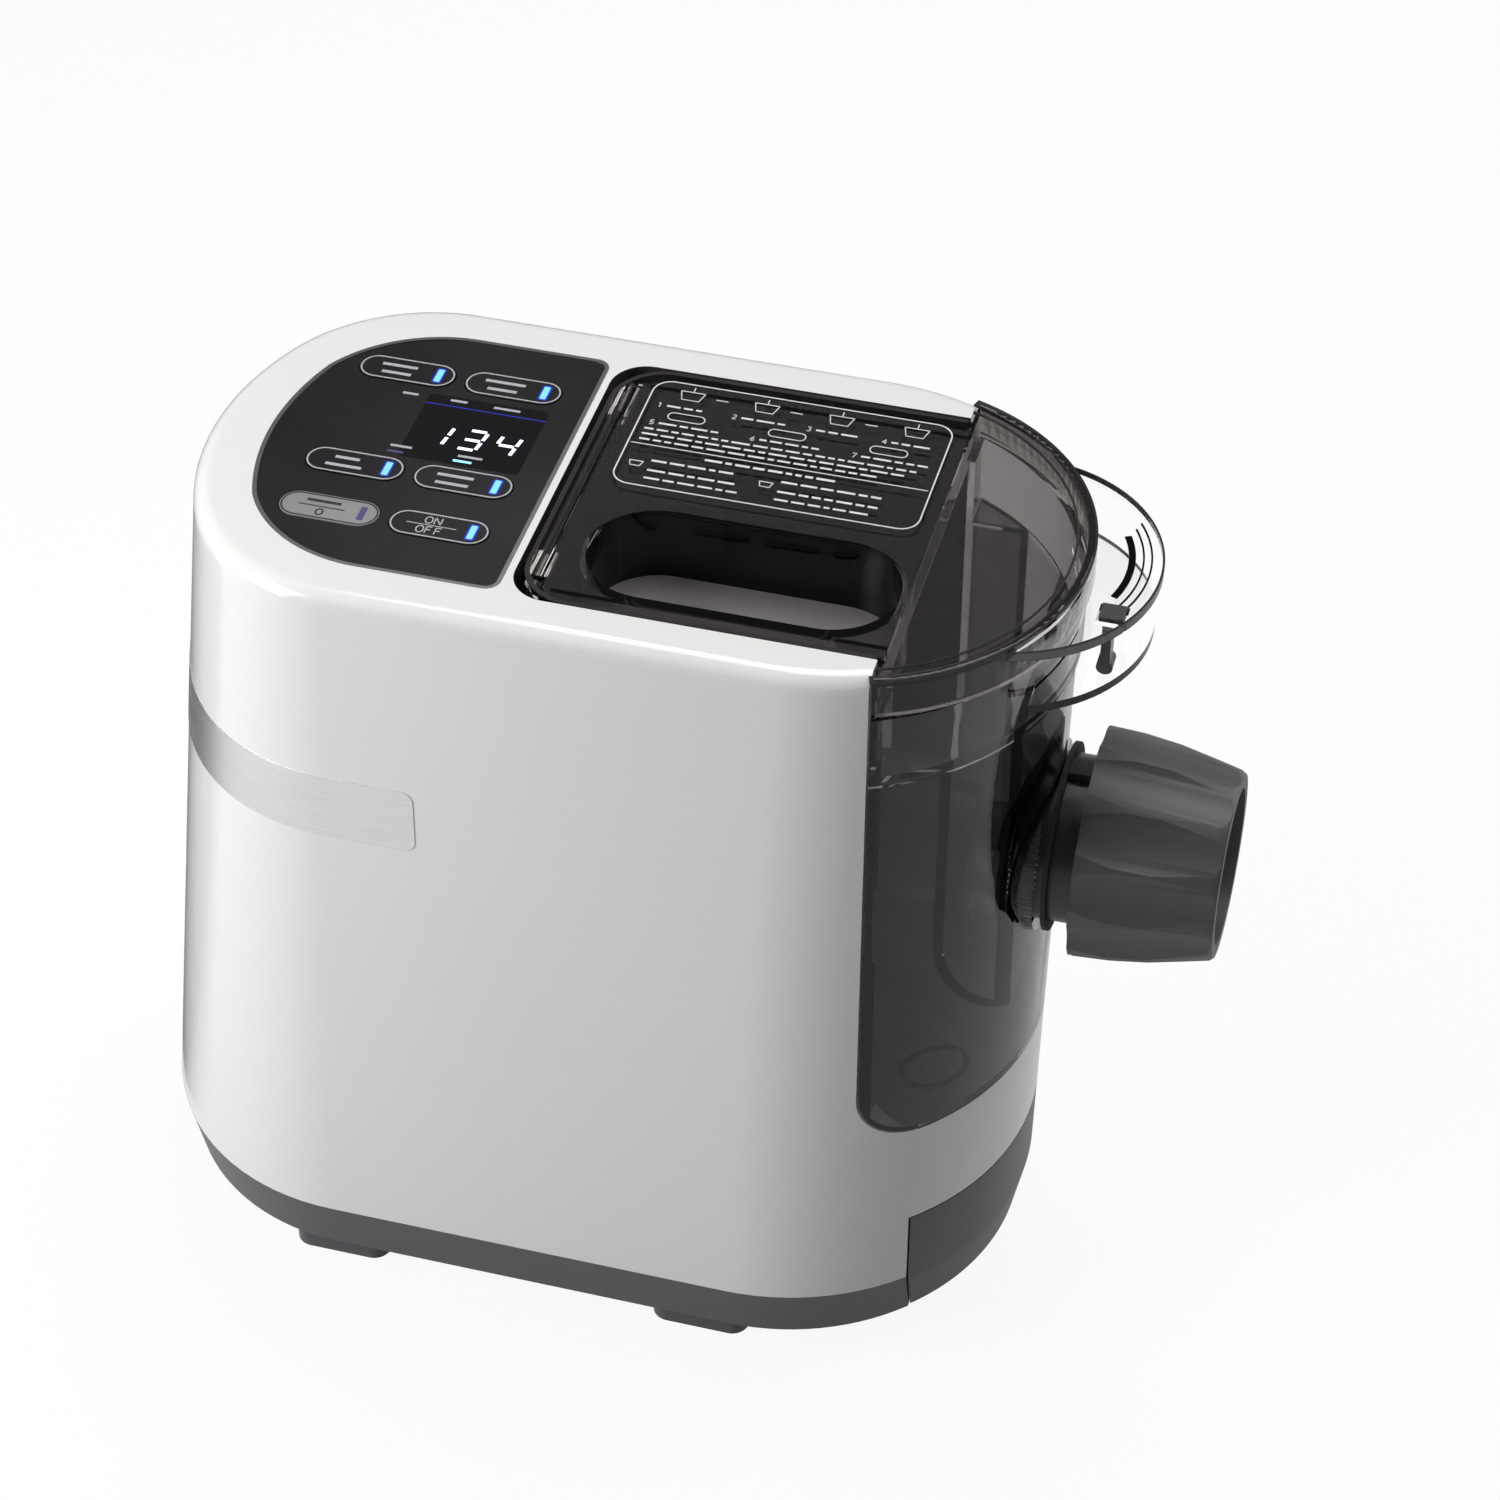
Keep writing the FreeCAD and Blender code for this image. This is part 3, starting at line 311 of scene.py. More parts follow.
def smoke(colour, depth=1.0):
    # clear plastic, its tint multiplied by the depth, a factor; below 1 it makes darker copies of one smoke
    # for dark marks and painted shade
    return {
        "tones": shades(tint[colour], 0.97 * depth, depth), "noise": (25.0, 2.0), "rough": (0.015, 0.03),
        "besides": {"Transmission_Weight": 1.0, "IOR": 1.42},
    }


recipes = {
    "whiteGloss": {
        "tones": shades(tint["shell"], 0.985, 1.0), "noise": (9.0, 3.0), "rough": (0.10, 0.15),
        "grain": (900.0, 2.0), "bump": (0.03, 0.0002),
        "besides": {"Coat_Weight": 0.4, "Coat_Roughness": 0.04},
    },
    "satinGrey": satin("grey", 0.32, 0.40),
    "nutGrey": satin("nut", 0.42, 0.50),
    "paddleDark": satin("paddle", 0.30, 0.38),
    "brushedBand": {
        "tones": ((0.80, 0.80, 0.81), (0.94, 0.94, 0.95)), "noise": (60.0, 4.0), "stretch": (0.6, 0.6, 60.0),
        "noiseRough": 0.7, "rough": (0.30, 0.44), "bump": (0.10, 0.0001), "besides": metal,
    },
    "satinBezel": {
        "tones": ((0.30, 0.30, 0.31), (0.36, 0.36, 0.37)), "noise": (900.0, 2.0), "rough": 0.30,
        "besides": metal,
    },
    "panelBlack": sleek("panel", 0.27, 0.33),
    "silverKey": sleek("silver", 0.31, 0.37),
    "windowBlack": sleek("panel", 0.09, 0.15),
    "smokedClear": smoke("bowl"),
    "smokedLid": smoke("lid"),
    "smokedPale": smoke("clear"),
    # a darker copy of the lid's smoke, for the dark rim ring and grips, and painted shade on the lid's sides
    "smokedDark": smoke("lid", 0.42),
    # a darker copy of the lid's smoke, painted shade on the basin's upright walls
    "smokedWallShade": smoke("lid", 0.6),
    "smokedCollar": smoke("collar"),
    # near black, painted shade for the inside of the bay
    "bayPaintedShade": {"tones": ((0.040, 0.036, 0.034), (0.046, 0.042, 0.040)), "noise": (14.0, 3.0), "rough": 0.22},
    # a pale, partly clear copy of the lid's tone, a painted highlight on the basin's floor
    "basinPaleHighlight": {
        "tones": ((0.42, 0.40, 0.39), (0.50, 0.48, 0.47)), "noise": (40.0, 3.0), "rough": 0.18,
        "besides": {"Transmission_Weight": 0.55},
    },
    "edgeSmoke": {"tones": ((0.03, 0.026, 0.026), (0.04, 0.035, 0.035)), "noise": (30.0, 2.0), "rough": 0.08},
    "turnedSteel": {
        "tones": shades(tint["steel"], 0.9, 1.0), "noise": (500.0, 3.0), "stretch": (6.0, 0.4, 0.4),
        "rough": (0.22, 0.36), "besides": metal,
    },
    "circuitBoard": {
        "tones": shades(tint["board"], 1.0, 1.6), "between": (0.45, 0.55), "noise": (300.0, 4.0),
        "rough": 0.4,
    },
    "softRubber": {
        "tones": shades(tint["rubber"], 1.0, 1.5), "noise": (700.0, 3.0), "rough": 0.7, "bump": (0.1, 0.0002),
    },
    "paleNylon": {
        "tones": shades(tint["nylon"], 0.94, 1.0), "noise": (60.0, 2.0), "rough": 0.4,
        "besides": {"Subsurface_Weight": 0.05},
    },
}


def makeFinish(name, recipe):
    made = finish(name)
    stretched = made.place(recipe["stretch"]) if "stretch" in recipe else None
    wave = made.noise(*recipe["noise"], stretched, recipe.get("noiseRough", 0.5))
    made.set(Base_Color=made.ramp(wave, *zip(recipe.get("between", noiseMiddle), recipe["tones"])))
    rough = recipe["rough"]
    made.set(Roughness=made.spread(wave, *rough) if isinstance(rough, tuple) else rough)
    if "bump" in recipe:
        height = made.noise(*recipe["grain"]) if "grain" in recipe else wave
        made.set(Normal=made.bump(height, *recipe["bump"]))
    made.set(**recipe.get("besides", {}))


finishOf = {
    "whiteGloss": ["housing_shell"],
    "satinGrey": ["base_tray", "drawer_front", "drawer_tray", "drawer_rails", "cord_bushing",
                  "foot_rear_left", "foot_rear_right", "foot_front_left", "foot_front_right"],
    "nutGrey": ["extruder_nut"],
    "paddleDark": ["kneading_paddle", "extruder_screw", "lid_latch", "extruder_barrel", "gearbox_case",
                   "gearbox_cover", "cooling_fan"],
    "brushedBand": ["trim_band"],
    "satinBezel": ["panel_bezel"],
    "panelBlack": ["control_panel", "key_knead", "key_extrude", "key_fast", "key_elastic", "key_power"],
    "windowBlack": ["display_window"],
    "silverKey": ["key_scale"],
    "smokedClear": ["mixing_bowl"],
    "smokedLid": ["lid"],
    "turnedSteel": ["drive_shaft", "idler_pin", "motor_pinion", "shaft_bearings", "motor_case",
                    "motor_stator", "motor_rotor", "motor_bearings", "gearbox_screws", "base_screws",
                    "lid_hinge_pins", "load_cell_rear_left", "load_cell_rear_right",
                    "load_cell_front_left", "load_cell_front_right"],
    "circuitBoard": ["control_board", "power_board", "key_switches", "display_module", "lid_switch"],
    "softRubber": ["drive_seal", "barrel_seal", "bowl_bush"],
    "paleNylon": ["shaping_disc", "output_gear", "idler_gear"],
}


def dress(obj, name):
    obj.data.materials.clear()
    obj.data.materials.append(finishes[name])


for finishName, recipe in recipes.items():
    makeFinish(finishName, recipe)
for finishName, members in finishOf.items():
    for member in members:
        dress(nodes[member], finishName)
print("finishes on the nodes:", sum(len(m) for m in finishOf.values()))

# Smooth copies of the curved nodes

smoothed = {
    "angle": 28.0, "merge": 0.00001,
    "pieces": ["housing_shell", "base_tray", "drawer_front", "extruder_nut", "extruder_barrel", "trim_band",
               "mixing_bowl", "lid", "panel_bezel", "kneading_paddle", "extruder_screw"],
}


def bodyOf(node):
    for body, members in frame["record"]["behaviour"]["bodies"].items():
        if node in members:
            return body


def smoothCopy(node, s):
    # the node's own faces with points closer than "merge" made one, and edges over the angle kept sharp
    mesh = nodes[node].data.copy()
    work = bmesh.new()
    work.from_mesh(mesh)
    bmesh.ops.remove_doubles(work, verts=work.verts, dist=s["merge"])
    for face in work.faces:
        face.smooth = True
    for edge in work.edges:
        edge.smooth = len(edge.link_faces) == 2 and edge.calc_face_angle(0.0) < math.radians(s["angle"])
    work.to_mesh(mesh)
    work.free()
    piece = bpy.data.objects.new(node + "_skin", mesh)
    bpy.context.scene.collection.objects.link(piece)
    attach(piece, bodyOf(node))
    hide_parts(node)
    return piece


skins = {node: smoothCopy(node, smoothed) for node in smoothed["pieces"]}
print("smooth copies:", len(smoothed["pieces"]))

# Parts of a skin with their own finish, or with painted shade and highlight, chosen by where each face lies

rimCentre = 0.0555
regions = {
    "rimInner": 0.0722, "rimOuter": 0.0770, "rimFrom": 0.0790, "deck": 0.2900,
    "edgeHalf": 0.0607, "edgeRear": -0.0338, "uprightBelow": 0.3, "wallBelow": 0.5,
    "basin": (-0.0212, 0.0812, -0.0542, -0.0068), "basinLow": 0.2745,
    "bayHalf": 0.0620, "bayRear": -0.0366, "bayFloor": 0.1042, "bayTop": 0.2999,
    "collarLow": 0.2592, "tabLow": 0.2738, "tabHigh": 0.2772, "tabFrom": 0.1225,
}


def faceFacts(mesh):
    # every face's x, y and z as three arrays, and how level it lies, 1 for a flat one
    centres, normals = np.empty(3 * len(mesh.polygons)), np.empty(3 * len(mesh.polygons))
    mesh.polygons.foreach_get("center", centres)
    mesh.polygons.foreach_get("normal", normals)
    return (*centres.reshape(-1, 3).T, np.abs(normals.reshape(-1, 3)[:, 2]))


def paint(piece, finishName, chosen):
    mesh = piece.data
    mesh.materials.append(finishes[finishName])
    indices = np.empty(len(mesh.polygons), np.int32)
    mesh.polygons.foreach_get("material_index", indices)
    indices[chosen] = len(mesh.materials) - 1
    mesh.polygons.foreach_set("material_index", indices)


def paintLid(s):
    # the clear rim is past the outer circle, the dark one between the two circles, and the lid's upright
    # sides are dark with painted shade
    x, y, z, level = faceFacts(skins["lid"].data)
    away, front = np.hypot(x - rimCentre, y), x > s["rimFrom"]
    paint(skins["lid"], "smokedPale", (away > s["rimOuter"]) & front)
    rim = (away > s["rimInner"]) & (away <= s["rimOuter"]) & front & (z > s["deck"])
    outside = (np.abs(y) > s["edgeHalf"]) | (x < s["edgeRear"])
    sides = (level < s["uprightBelow"]) & outside & (x < s["rimFrom"])
    paint(skins["lid"], "smokedDark", rim | sides)


def paintBay(s):
    # the housing's faces within the bay's oblong, near black with painted shade
    x, y, z, _ = faceFacts(skins["housing_shell"].data)
    inside = (np.abs(y) < s["bayHalf"]) & (x > s["bayRear"]) & (z > s["bayFloor"]) & (z < s["bayTop"])
    paint(skins["housing_shell"], "bayPaintedShade", inside)


def paintBasin(s):
    # within the basin's oblong, the low faces pale with a painted highlight and the upright ones above them
    # darker with painted shade
    x, y, z, level = faceFacts(skins["lid"].data)
    x0, x1, y0, y1 = s["basin"]
    within = (x > x0) & (x < x1) & (y > y0) & (y < y1)
    paint(skins["lid"], "basinPaleHighlight", within & (z < s["basinLow"]))
    paint(skins["lid"], "smokedWallShade", within & (z >= s["basinLow"]) & (level < s["wallBelow"]))


def paintBowl(s):
    # the collar is above its line, and the clear tab past the rim between two levels
    x, y, z, _ = faceFacts(skins["mixing_bowl"].data)
    paint(skins["mixing_bowl"], "smokedCollar", z > s["collarLow"])
    away = np.hypot(x - rimCentre, y)
    tab = (z > s["tabLow"]) & (z < s["tabHigh"]) & (away > s["rimOuter"]) & (x > s["tabFrom"])
    paint(skins["mixing_bowl"], "smokedPale", tab)


paintLid(regions)
paintBay(regions)
paintBasin(regions)
paintBowl(regions)
print("regions painted")

# Flat marks and raised lines: a strip swept along a path, and a plate from an outline

def newPiece(name, points, faces, finishName, body, smooth=False):
    mesh = bpy.data.meshes.new(name)
    mesh.from_pydata(points.tolist(), [], faces)
    mesh.update()
    work = bmesh.new()
    work.from_mesh(mesh)
    bmesh.ops.recalc_face_normals(work, faces=work.faces)
    work.to_mesh(mesh)
    work.free()
    if smooth:
        mesh.shade_smooth()
    piece = bpy.data.objects.new(name, mesh)
    bpy.context.scene.collection.objects.link(piece)
    mesh.materials.append(finishes[finishName])
    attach(piece, body)
    return piece


def bands(rows, around, loop):
    # four-sided faces from each row of a grid to the next, all round, and back to the first if looped
    row, column = np.arange(rows if loop else rows - 1)[:, None], np.arange(around)
    onward, beside = (row + 1) % rows * around, (column + 1) % around
    here = row * around
    faces = np.stack([here + column, here + beside, onward + beside, onward + column], -1)
    return faces.reshape(-1, 4).tolist()


def strip(path, width, low, high, closed=False):
    # an oblong section, half the width to each side of the path's direction, from low to high
    path = np.asarray(path, float)
    before = np.roll(path, 1, 0) if closed else np.vstack([path[:1], path[:-1]])
    after = np.roll(path, -1, 0) if closed else np.vstack([path[1:], path[-1:]])
    along = after - before
    along /= np.linalg.norm(along, axis=1)[:, None]
    side = np.stack([-along[:, 1], along[:, 0]], 1) * width / 2
    count = len(path)
    section = ((1, high), (-1, high), (-1, low), (1, low))
    ring = [np.column_stack([path + k * side, np.full(count, z)]) for k, z in section]
    faces = bands(count, 4, closed)
    if not closed:
        faces += [[3, 2, 1, 0], list(range(4 * count - 4, 4 * count))]
    return np.stack(ring, 1).reshape(-1, 3), faces


def prism(count):
    # the two ends, then the sides between two outlines of the same count
    return [list(range(count))[::-1], list(range(count, 2 * count))] + bands(2, count, False)


def plate(outline, low, high):
    # the outline at the low and the high level, with its sides between
    count = len(outline)
    points = np.vstack([np.column_stack([outline, np.full(count, z)]) for z in (low, high)])
    return points, prism(count)


def joined(parts):
    # all parts' points in one array, each part's faces moved on by the points before it
    points, faces, shift = [], [], 0
    for these, those in parts:
        points.append(these)
        faces += [[v + shift for v in face] for face in those]
        shift += len(these)
    return np.vstack(points), faces


def arcPath(cx, cy, radius, start, end, steps=48):
    # points on a circle about the centre, from the start to the end angle in degrees
    a = np.radians(np.linspace(start, end, steps))
    return np.column_stack([cx + radius * np.cos(a), cy + radius * np.sin(a)])


def rounded(x0, x1, y0, y1, corner, steps=8):
    # an oblong with a quarter circle at each corner, counterclockwise
    east, west, north, south = x1 - corner, x0 + corner, y1 - corner, y0 + corner
    middles = ((east, north), (west, north), (west, south), (east, south))
    return np.vstack([arcPath(*at, corner, 90 * n, 90 * n + 90, steps) for n, at in enumerate(middles)])


def centred(x, y, wide, deep, corner, steps):
    # a rounded oblong given by its middle and its two half widths
    return rounded(x - wide, x + wide, y - deep, y + deep, corner, steps)


def bar(x0, x1, y, weight, low, high):
    # a straight strip along X
    return strip([(x0, y), (x1, y)], weight, low, high)


# Writing: capital letters and figures as strokes in a cell one unit high, read from the near side

letter = {"wide": 0.66, "step": 0.95}
roundStroke = [arcPath(0.36, 0.5, 0.5, 0, 360, 24) * (0.72, 1) + (0.10, 0)]
strokes = {
    "O": roundStroke,
    "N": [[(0, 0), (0, 1)], [(0, 1), (0.66, 0)], [(0.66, 0), (0.66, 1)]],
    "F": [[(0, 0), (0, 1)], [(0, 1), (0.55, 1)], [(0, 0.54), (0.46, 0.54)]],
    "0": roundStroke,
    "1": [[(0.3, 0), (0.3, 1)], [(0.3, 1), (0.1, 0.8)]],
    "2": [[(0.05, 0.85), (0.3, 1), (0.55, 0.8), (0.5, 0.55), (0.05, 0)], [(0.05, 0), (0.6, 0)]],
    "3": [[(0.05, 1), (0.55, 1)], [(0.55, 1), (0.3, 0.58), (0.58, 0.3), (0.3, 0), (0.03, 0.12)]],
    "4": [[(0.45, 0), (0.45, 1)], [(0.45, 1), (0, 0.3)], [(0, 0.3), (0.62, 0.3)]],
    "5": [[(0.55, 1), (0.1, 1)], [(0.1, 1), (0.07, 0.56)],
          [(0.07, 0.56), (0.5, 0.5), (0.55, 0.2), (0.3, 0), (0.03, 0.1)]],
    "6": [[(0.5, 1), (0.1, 0.5), (0.06, 0.2), (0.3, 0), (0.56, 0.2), (0.5, 0.48), (0.12, 0.48)]],
    "7": [[(0, 1), (0.6, 1)], [(0.6, 1), (0.2, 0)]],
}


def written(text, x, y, height, weight, low, high):
    # each letter's strokes scaled to the height and set a step apart about the middle
    width = (len(text) - 1) * letter["step"] + letter["wide"]
    made = []
    for n, sign in enumerate(text):
        for stroke in strokes[sign]:
            path = np.asarray(stroke, float) + (n * letter["step"] - width / 2, -0.5)
            made.append(strip(path * height + (x, y), weight, low, high))
    return made


# Inks and lights for the marks

inks = {"inkPale": (0.42, 0.43, 0.45), "inkDark": (0.02, 0.02, 0.02), "inkWhite": (0.72, 0.71, 0.69)}
lights = {
    "barBlue": ((0.13, 0.40, 1.0), 1.6), "haloBlue": ((0.02, 0.04, 0.60), 0.5),
    "barDim": ((0.10, 0.09, 0.22), 0.25), "figureViolet": ((0.72, 0.70, 1.0), 2.0),
    "lineBlue": ((0.03, 0.03, 0.45), 0.35), "cyanLight": ((0.25, 0.75, 1.0), 1.6),
}
lightLook = {"noise": (400.0, 1.0), "unlit": 0.6, "dimmer": 0.9, "rough": 0.3}


def makeLight(name, colour, strength, s):
    made = finish(name)
    glow = made.ramp(made.noise(*s["noise"]), *zip(noiseMiddle, shades(colour, s["dimmer"], 1.0)))
    made.set(Base_Color=opaque(shade(colour, s["unlit"])), Roughness=s["rough"])
    made.set(Emission_Color=glow, Emission_Strength=strength)


for name, colour in inks.items():
    makeFinish(name, {"tones": shades(colour, 0.9, 1.08), "noise": (700.0, 2.0), "rough": (0.35, 0.5)})
for name, (colour, strength) in lights.items():
    makeLight(name, colour, strength, lightLook)
print("inks and lights:", len(inks) + len(lights))

# Key caps with a printed outline, a light bar and marks: a bar has its two ends, height and weight, a
# text its middle, height and weight, all from the key's centre

panel = {
    "capLow": 0.2947, "cap": 0.29998, "ink": 0.30006, "long": 0.0320, "wide": 0.0120, "ends": 0.99,
    "steps": 12, "inset": 0.0006, "insetEnds": 1.2, "line": 0.0005,
    "light": 0.0010, "lightLong": 0.0066, "lightAt": 0.0106, "lightCorner": 0.0004, "lightSteps": 4,
    "halo": 0.00055, "haloLow": 0.29988, "haloTop": 0.30001, "haloCorner": 0.0007,
    "keys": {
        "key_knead": {"at": (-0.1008, 0.0387),
                      "bars": [(-0.0090, 0.0028, 0.0018, 0.0013), (-0.0080, 0.0018, -0.0022, 0.0013)]},
        "key_extrude": {"at": (-0.0652, 0.0387),
                        "bars": [(-0.0098, 0.0036, 0.0018, 0.0013), (-0.0080, 0.0018, -0.0022, 0.0013)]},
        "key_fast": {"at": (-0.1008, -0.0122),
                     "bars": [(-0.0070, 0.0010, 0.0018, 0.0013), (-0.0090, 0.0028, -0.0022, 0.0013)]},
        "key_elastic": {"at": (-0.0652, -0.0122),
                        "bars": [(-0.0090, 0.0028, 0.0018, 0.0013), (-0.0085, 0.0022, -0.0022, 0.0013)]},
        "key_scale": {"at": (-0.1008, -0.0358), "texts": [("0", -0.0025, -0.0026, 0.0030, 0.0005)],
                      "bars": [(-0.0100, 0.0050, 0.0, 0.0004), (-0.0080, 0.0030, 0.0026, 0.0012)]},
        "key_power": {"at": (-0.0652, -0.0358), "bars": [(-0.0105, 0.0055, 0.0, 0.0003)],
                      "texts": [("ON", -0.0025, 0.0024, 0.0032, 0.00042),
                                ("OFF", -0.0025, -0.0024, 0.0032, 0.00042)]},
    },
}


def makeKey(name, key, s):
    x, y = key["at"]
    half, deep = s["long"] / 2, s["wide"] / 2
    silver = name == "key_scale"
    cap = plate(centred(x, y, half, deep, deep * s["ends"], s["steps"]), s["capLow"], s["cap"])
    piece = newPiece(name + "_cap", *cap, "silverKey" if silver else "panelBlack", name)
    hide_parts(name)
    "key_silver" if name == "key_scale" else "panel_black"
    inset = s["inset"]
    ring = centred(x, y, half - inset, deep - inset, deep - inset * s["insetEnds"], s["steps"])
    ink = [strip(ring, s["line"], s["cap"], s["ink"], True)]
    for text, across, up, height, weight in key.get("texts", ()):
        ink += written(text, x + across, y + up, height, weight, s["cap"], s["ink"])
    for x0, x1, up, weight in key["bars"]:
        ink.append(bar(x + x0, x + x1, y + up, weight, s["cap"], s["ink"]))
    newPiece(name + "_ink", *joined(ink), "inkDark" if silver else "inkPale", name)
    x, wide, deep = x + s["lightAt"], s["light"], s["lightLong"] / 2
    lit = centred(x, y, wide, deep, s["lightCorner"], s["lightSteps"])
    newPiece(name + "_light", *plate(lit, s["cap"], s["ink"]), "barDim" if silver else "barBlue", name)
    if not silver:
        around = centred(x, y, wide + s["halo"], deep + s["halo"], s["haloCorner"], s["lightSteps"])
        newPiece(name + "_halo", *plate(around, s["haloLow"], s["haloTop"]), "haloBlue", name)


for name, key in panel["keys"].items():
    makeKey(name, key, panel)
print("keys made:", len(panel["keys"]))

# Figures in the display window: up to seven bars each, slanted

display = {
    "text": "134", "at": (-0.0700, 0.0090), "height": 0.0098, "width": 0.0062, "step": 0.0112, "bar": 0.0011,
    "gap": 0.62, "slant": 0.16, "low": 0.2997, "high": 0.29985,
    "lit": {"1": "bc", "3": "abcdg", "4": "bcfg"},
    "ends": {
        "a": ((0, 1), (1, 1)), "b": ((1, 1), (1, 0.5)), "c": ((1, 0.5), (1, 0)), "d": ((0, 0), (1, 0)),
        "f": ((0, 1), (0, 0.5)), "g": ((0, 0.5), (1, 0.5)),
    },
}


def makeFigures(s):
    # each bar is drawn in by a gap at both ends, and leans by the slant times its height
    made, middle = [], (len(s["text"]) - 1) / 2
    for n, figure in enumerate(s["text"]):
        x0 = s["at"][0] + (n - middle) * s["step"] - s["width"] / 2
        y0 = s["at"][1] - s["height"] / 2
        for name in s["lit"][figure]:
            ends = np.array(s["ends"][name], float) * (s["width"], s["height"])
            gap = (ends[1] - ends[0]) / np.linalg.norm(ends[1] - ends[0]) * s["bar"] * s["gap"]
            ends += [gap, -gap]
            ends[:, 0] += ends[:, 1] * s["slant"]
            made.append(strip(ends + (x0, y0), s["bar"], s["low"], s["high"]))
    newPiece("display_figures", *joined(made), "figureViolet", "housing")


makeFigures(display)

# Marks on the panel between the keys: each has its middle and its length

labels = {
    "low": 0.2997, "high": 0.2998, "weight": 0.0010, "thin": 0.0004, "lit": 0.0009,
    "marks": [(-0.0960, 0.0275, 0.0052), (-0.0797, 0.0275, 0.0056), (-0.0636, 0.0273, 0.0088),
              (-0.0898, 0.0002, 0.0070), (-0.0671, 0.0003, 0.0080)],
    "blue": (-0.0700, 0.0244, 0.0400),
    "violetLight": (-0.0908, -0.0028, 0.0052), "cyanLight": (-0.0689, -0.0023, 0.0060),
}


def makeLabels(s):
    # straight bars about their middles
    def mark(spot, weight):
        x, y, long = spot
        return bar(x - long / 2, x + long / 2, y, weight, s["low"], s["high"])

    newPiece("panel_labels", *joined([mark(spot, s["weight"]) for spot in s["marks"]]), "inkPale", "housing")
    newPiece("panel_blue", *mark(s["blue"], s["thin"]), "lineBlue", "housing")
    newPiece("panel_dim_light", *mark(s["violetLight"], s["lit"]), "barDim", "housing")
    newPiece("panel_cyan_light", *mark(s["cyanLight"], s["lit"]), "cyanLight", "housing")


makeLabels(labels)
print("panel marks made")

# Print on the lid: a rounded frame, numbered steps, small drawings and rows of plain marks

lidPrint = {
    "low": 0.2996, "high": 0.29968, "line": 0.00035, "frame": (-0.0220, 0.0760, 0.0010, 0.0560, 0.006),
    "frameLine": 0.000455, "figure": (0.0022, 0.0003), "word": 0.0008, "left": -0.0175,
    "words": {"short": 0.0018, "long": 0.0060, "space": 0.0011, "least": 0.003},
    "upper": {"count": 4, "first": 1, "step": 0.0245, "y": 0.0430, "span": (0.0022, 0.0175), "seed": 0},
    "lower": {"count": 3, "first": 5, "step": 0.0330, "y": 0.0335, "span": (0.0022, 0.0250), "seed": 10},
    "cup": (0.0085, 0.0500, 0.0040), "stem": (0.0520, 0.0545), "arrow": (0.0165, 0.0205),
    "box": (0.004, 0.016, 0.0362, 0.0400, 0.0018),
    "rows": (0.0300, 0.0272, 0.0244), "rowEnds": (0.003, 0.004), "rowShrink": 0.006, "rowSeed": 20,
    "rule": (0.001, 0.0218), "title": (0.004, 0.050, 0.0188, 0.0010, 31),
    "notes": ((0.0142, 0.0009), (0.0092, 0.0009), (0.0052, 0.0008)),
    "noteSpans": ((0.010, 0.040, 40), (0.052, 0.084, 50)),
    "noteCups": ((0.0055, 0.0118, 0.0022), (0.0475, 0.0118, 0.0022)),
}


def dashes(x0, x1, y, weight, seed, s):
    # words of uneven length along a row, each a thin bar
    pick = np.random.default_rng(seed)
    words = s["words"]
    made, x = [], x0
    while x < x1 - words["least"]:
        long = min(pick.uniform(words["short"], words["long"]), x1 - x)
        made.append(bar(x, x + long, y, weight, s["low"], s["high"]))
        x += long + words["space"]
    return made


def smallBowl(x, y, size, s):
    # a cup's outline: its brim half a size up, its narrower bottom 0.6 of a size down, and its brim line
    top, bottom, foot = y + size * 0.5, y - size * 0.6, size * 0.7
    cup = [(x - size, top), (x - foot, bottom), (x + foot, bottom), (x + size, top)]
    return [strip(path, s["line"], s["low"], s["high"]) for path in (cup, [cup[0], cup[3]])]


def numbered(row, n, s):
    # a step's place, and its figure with a row of words
    x, (start, end) = s["left"] + n * row["step"], row["span"]
    figure = written(str(row["first"] + n), x, row["y"], *s["figure"], s["low"], s["high"])
    return x, figure + dashes(x + start, x + end, row["y"], s["word"], row["seed"] + n, s)


def makeLidPrint(s):
    x0, x1, y0, y1, corner = s["frame"]
    level = (s["low"], s["high"])
    made = [strip(rounded(x0, x1, y0, y1, corner), s["frameLine"], *level, True)]
    for n in range(s["upper"]["count"]):
        x, words = numbered(s["upper"], n, s)
        across, up, size = s["cup"]
        made += words + smallBowl(x + across, up, size, s)
        made.append(strip([(x + across, height) for height in s["stem"]], s["line"], *level))
        if n < s["upper"]["count"] - 1:
            start, end = s["arrow"]
            made.append(bar(x + start, x + end, up, s["line"], *level))
    for n in range(s["lower"]["count"]):
        x, words = numbered(s["lower"], n, s)
        left, right, low, high, bend = s["box"]
        box = rounded(x + left, x + right, low, high, bend)
        made += words + [strip(box, s["line"], *level, True)]
    for n, y in enumerate(s["rows"]):
        start, end = s["rowEnds"]
        made += dashes(x0 + start, x1 - end - s["rowShrink"] * n, y, s["word"], s["rowSeed"] + n, s)
    margin, y = s["rule"]
    made.append(bar(x0 + margin, x1 - margin, y, s["line"], *level))
    made += dashes(*s["title"], s)
    for n, (y, weight) in enumerate(s["notes"]):
        for start, end, seed in s["noteSpans"]:
            made += dashes(x0 + start, x0 + end, y, weight, seed + n, s)
    for across, up, size in s["noteCups"]:
        made += smallBowl(x0 + across, up, size, s)
    newPiece("lid_print", *joined(made), "inkWhite", "lid")


makeLidPrint(lidPrint)

# Dark line round the lid's edge, and the rim's two lines: each has its radius, weight and half angle

lidEdge = {
    "low": 0.2990, "high": 0.29972, "width": 0.0016, "half": 0.0603, "rear": -0.0337, "front": 0.0790,
    "corner": 0.0172, "cornerSteps": 12,
    "rim": [(0.0746, 0.0030, 71.5), (0.0700, 0.0007, 70.0)], "rimSteps": 96,
}


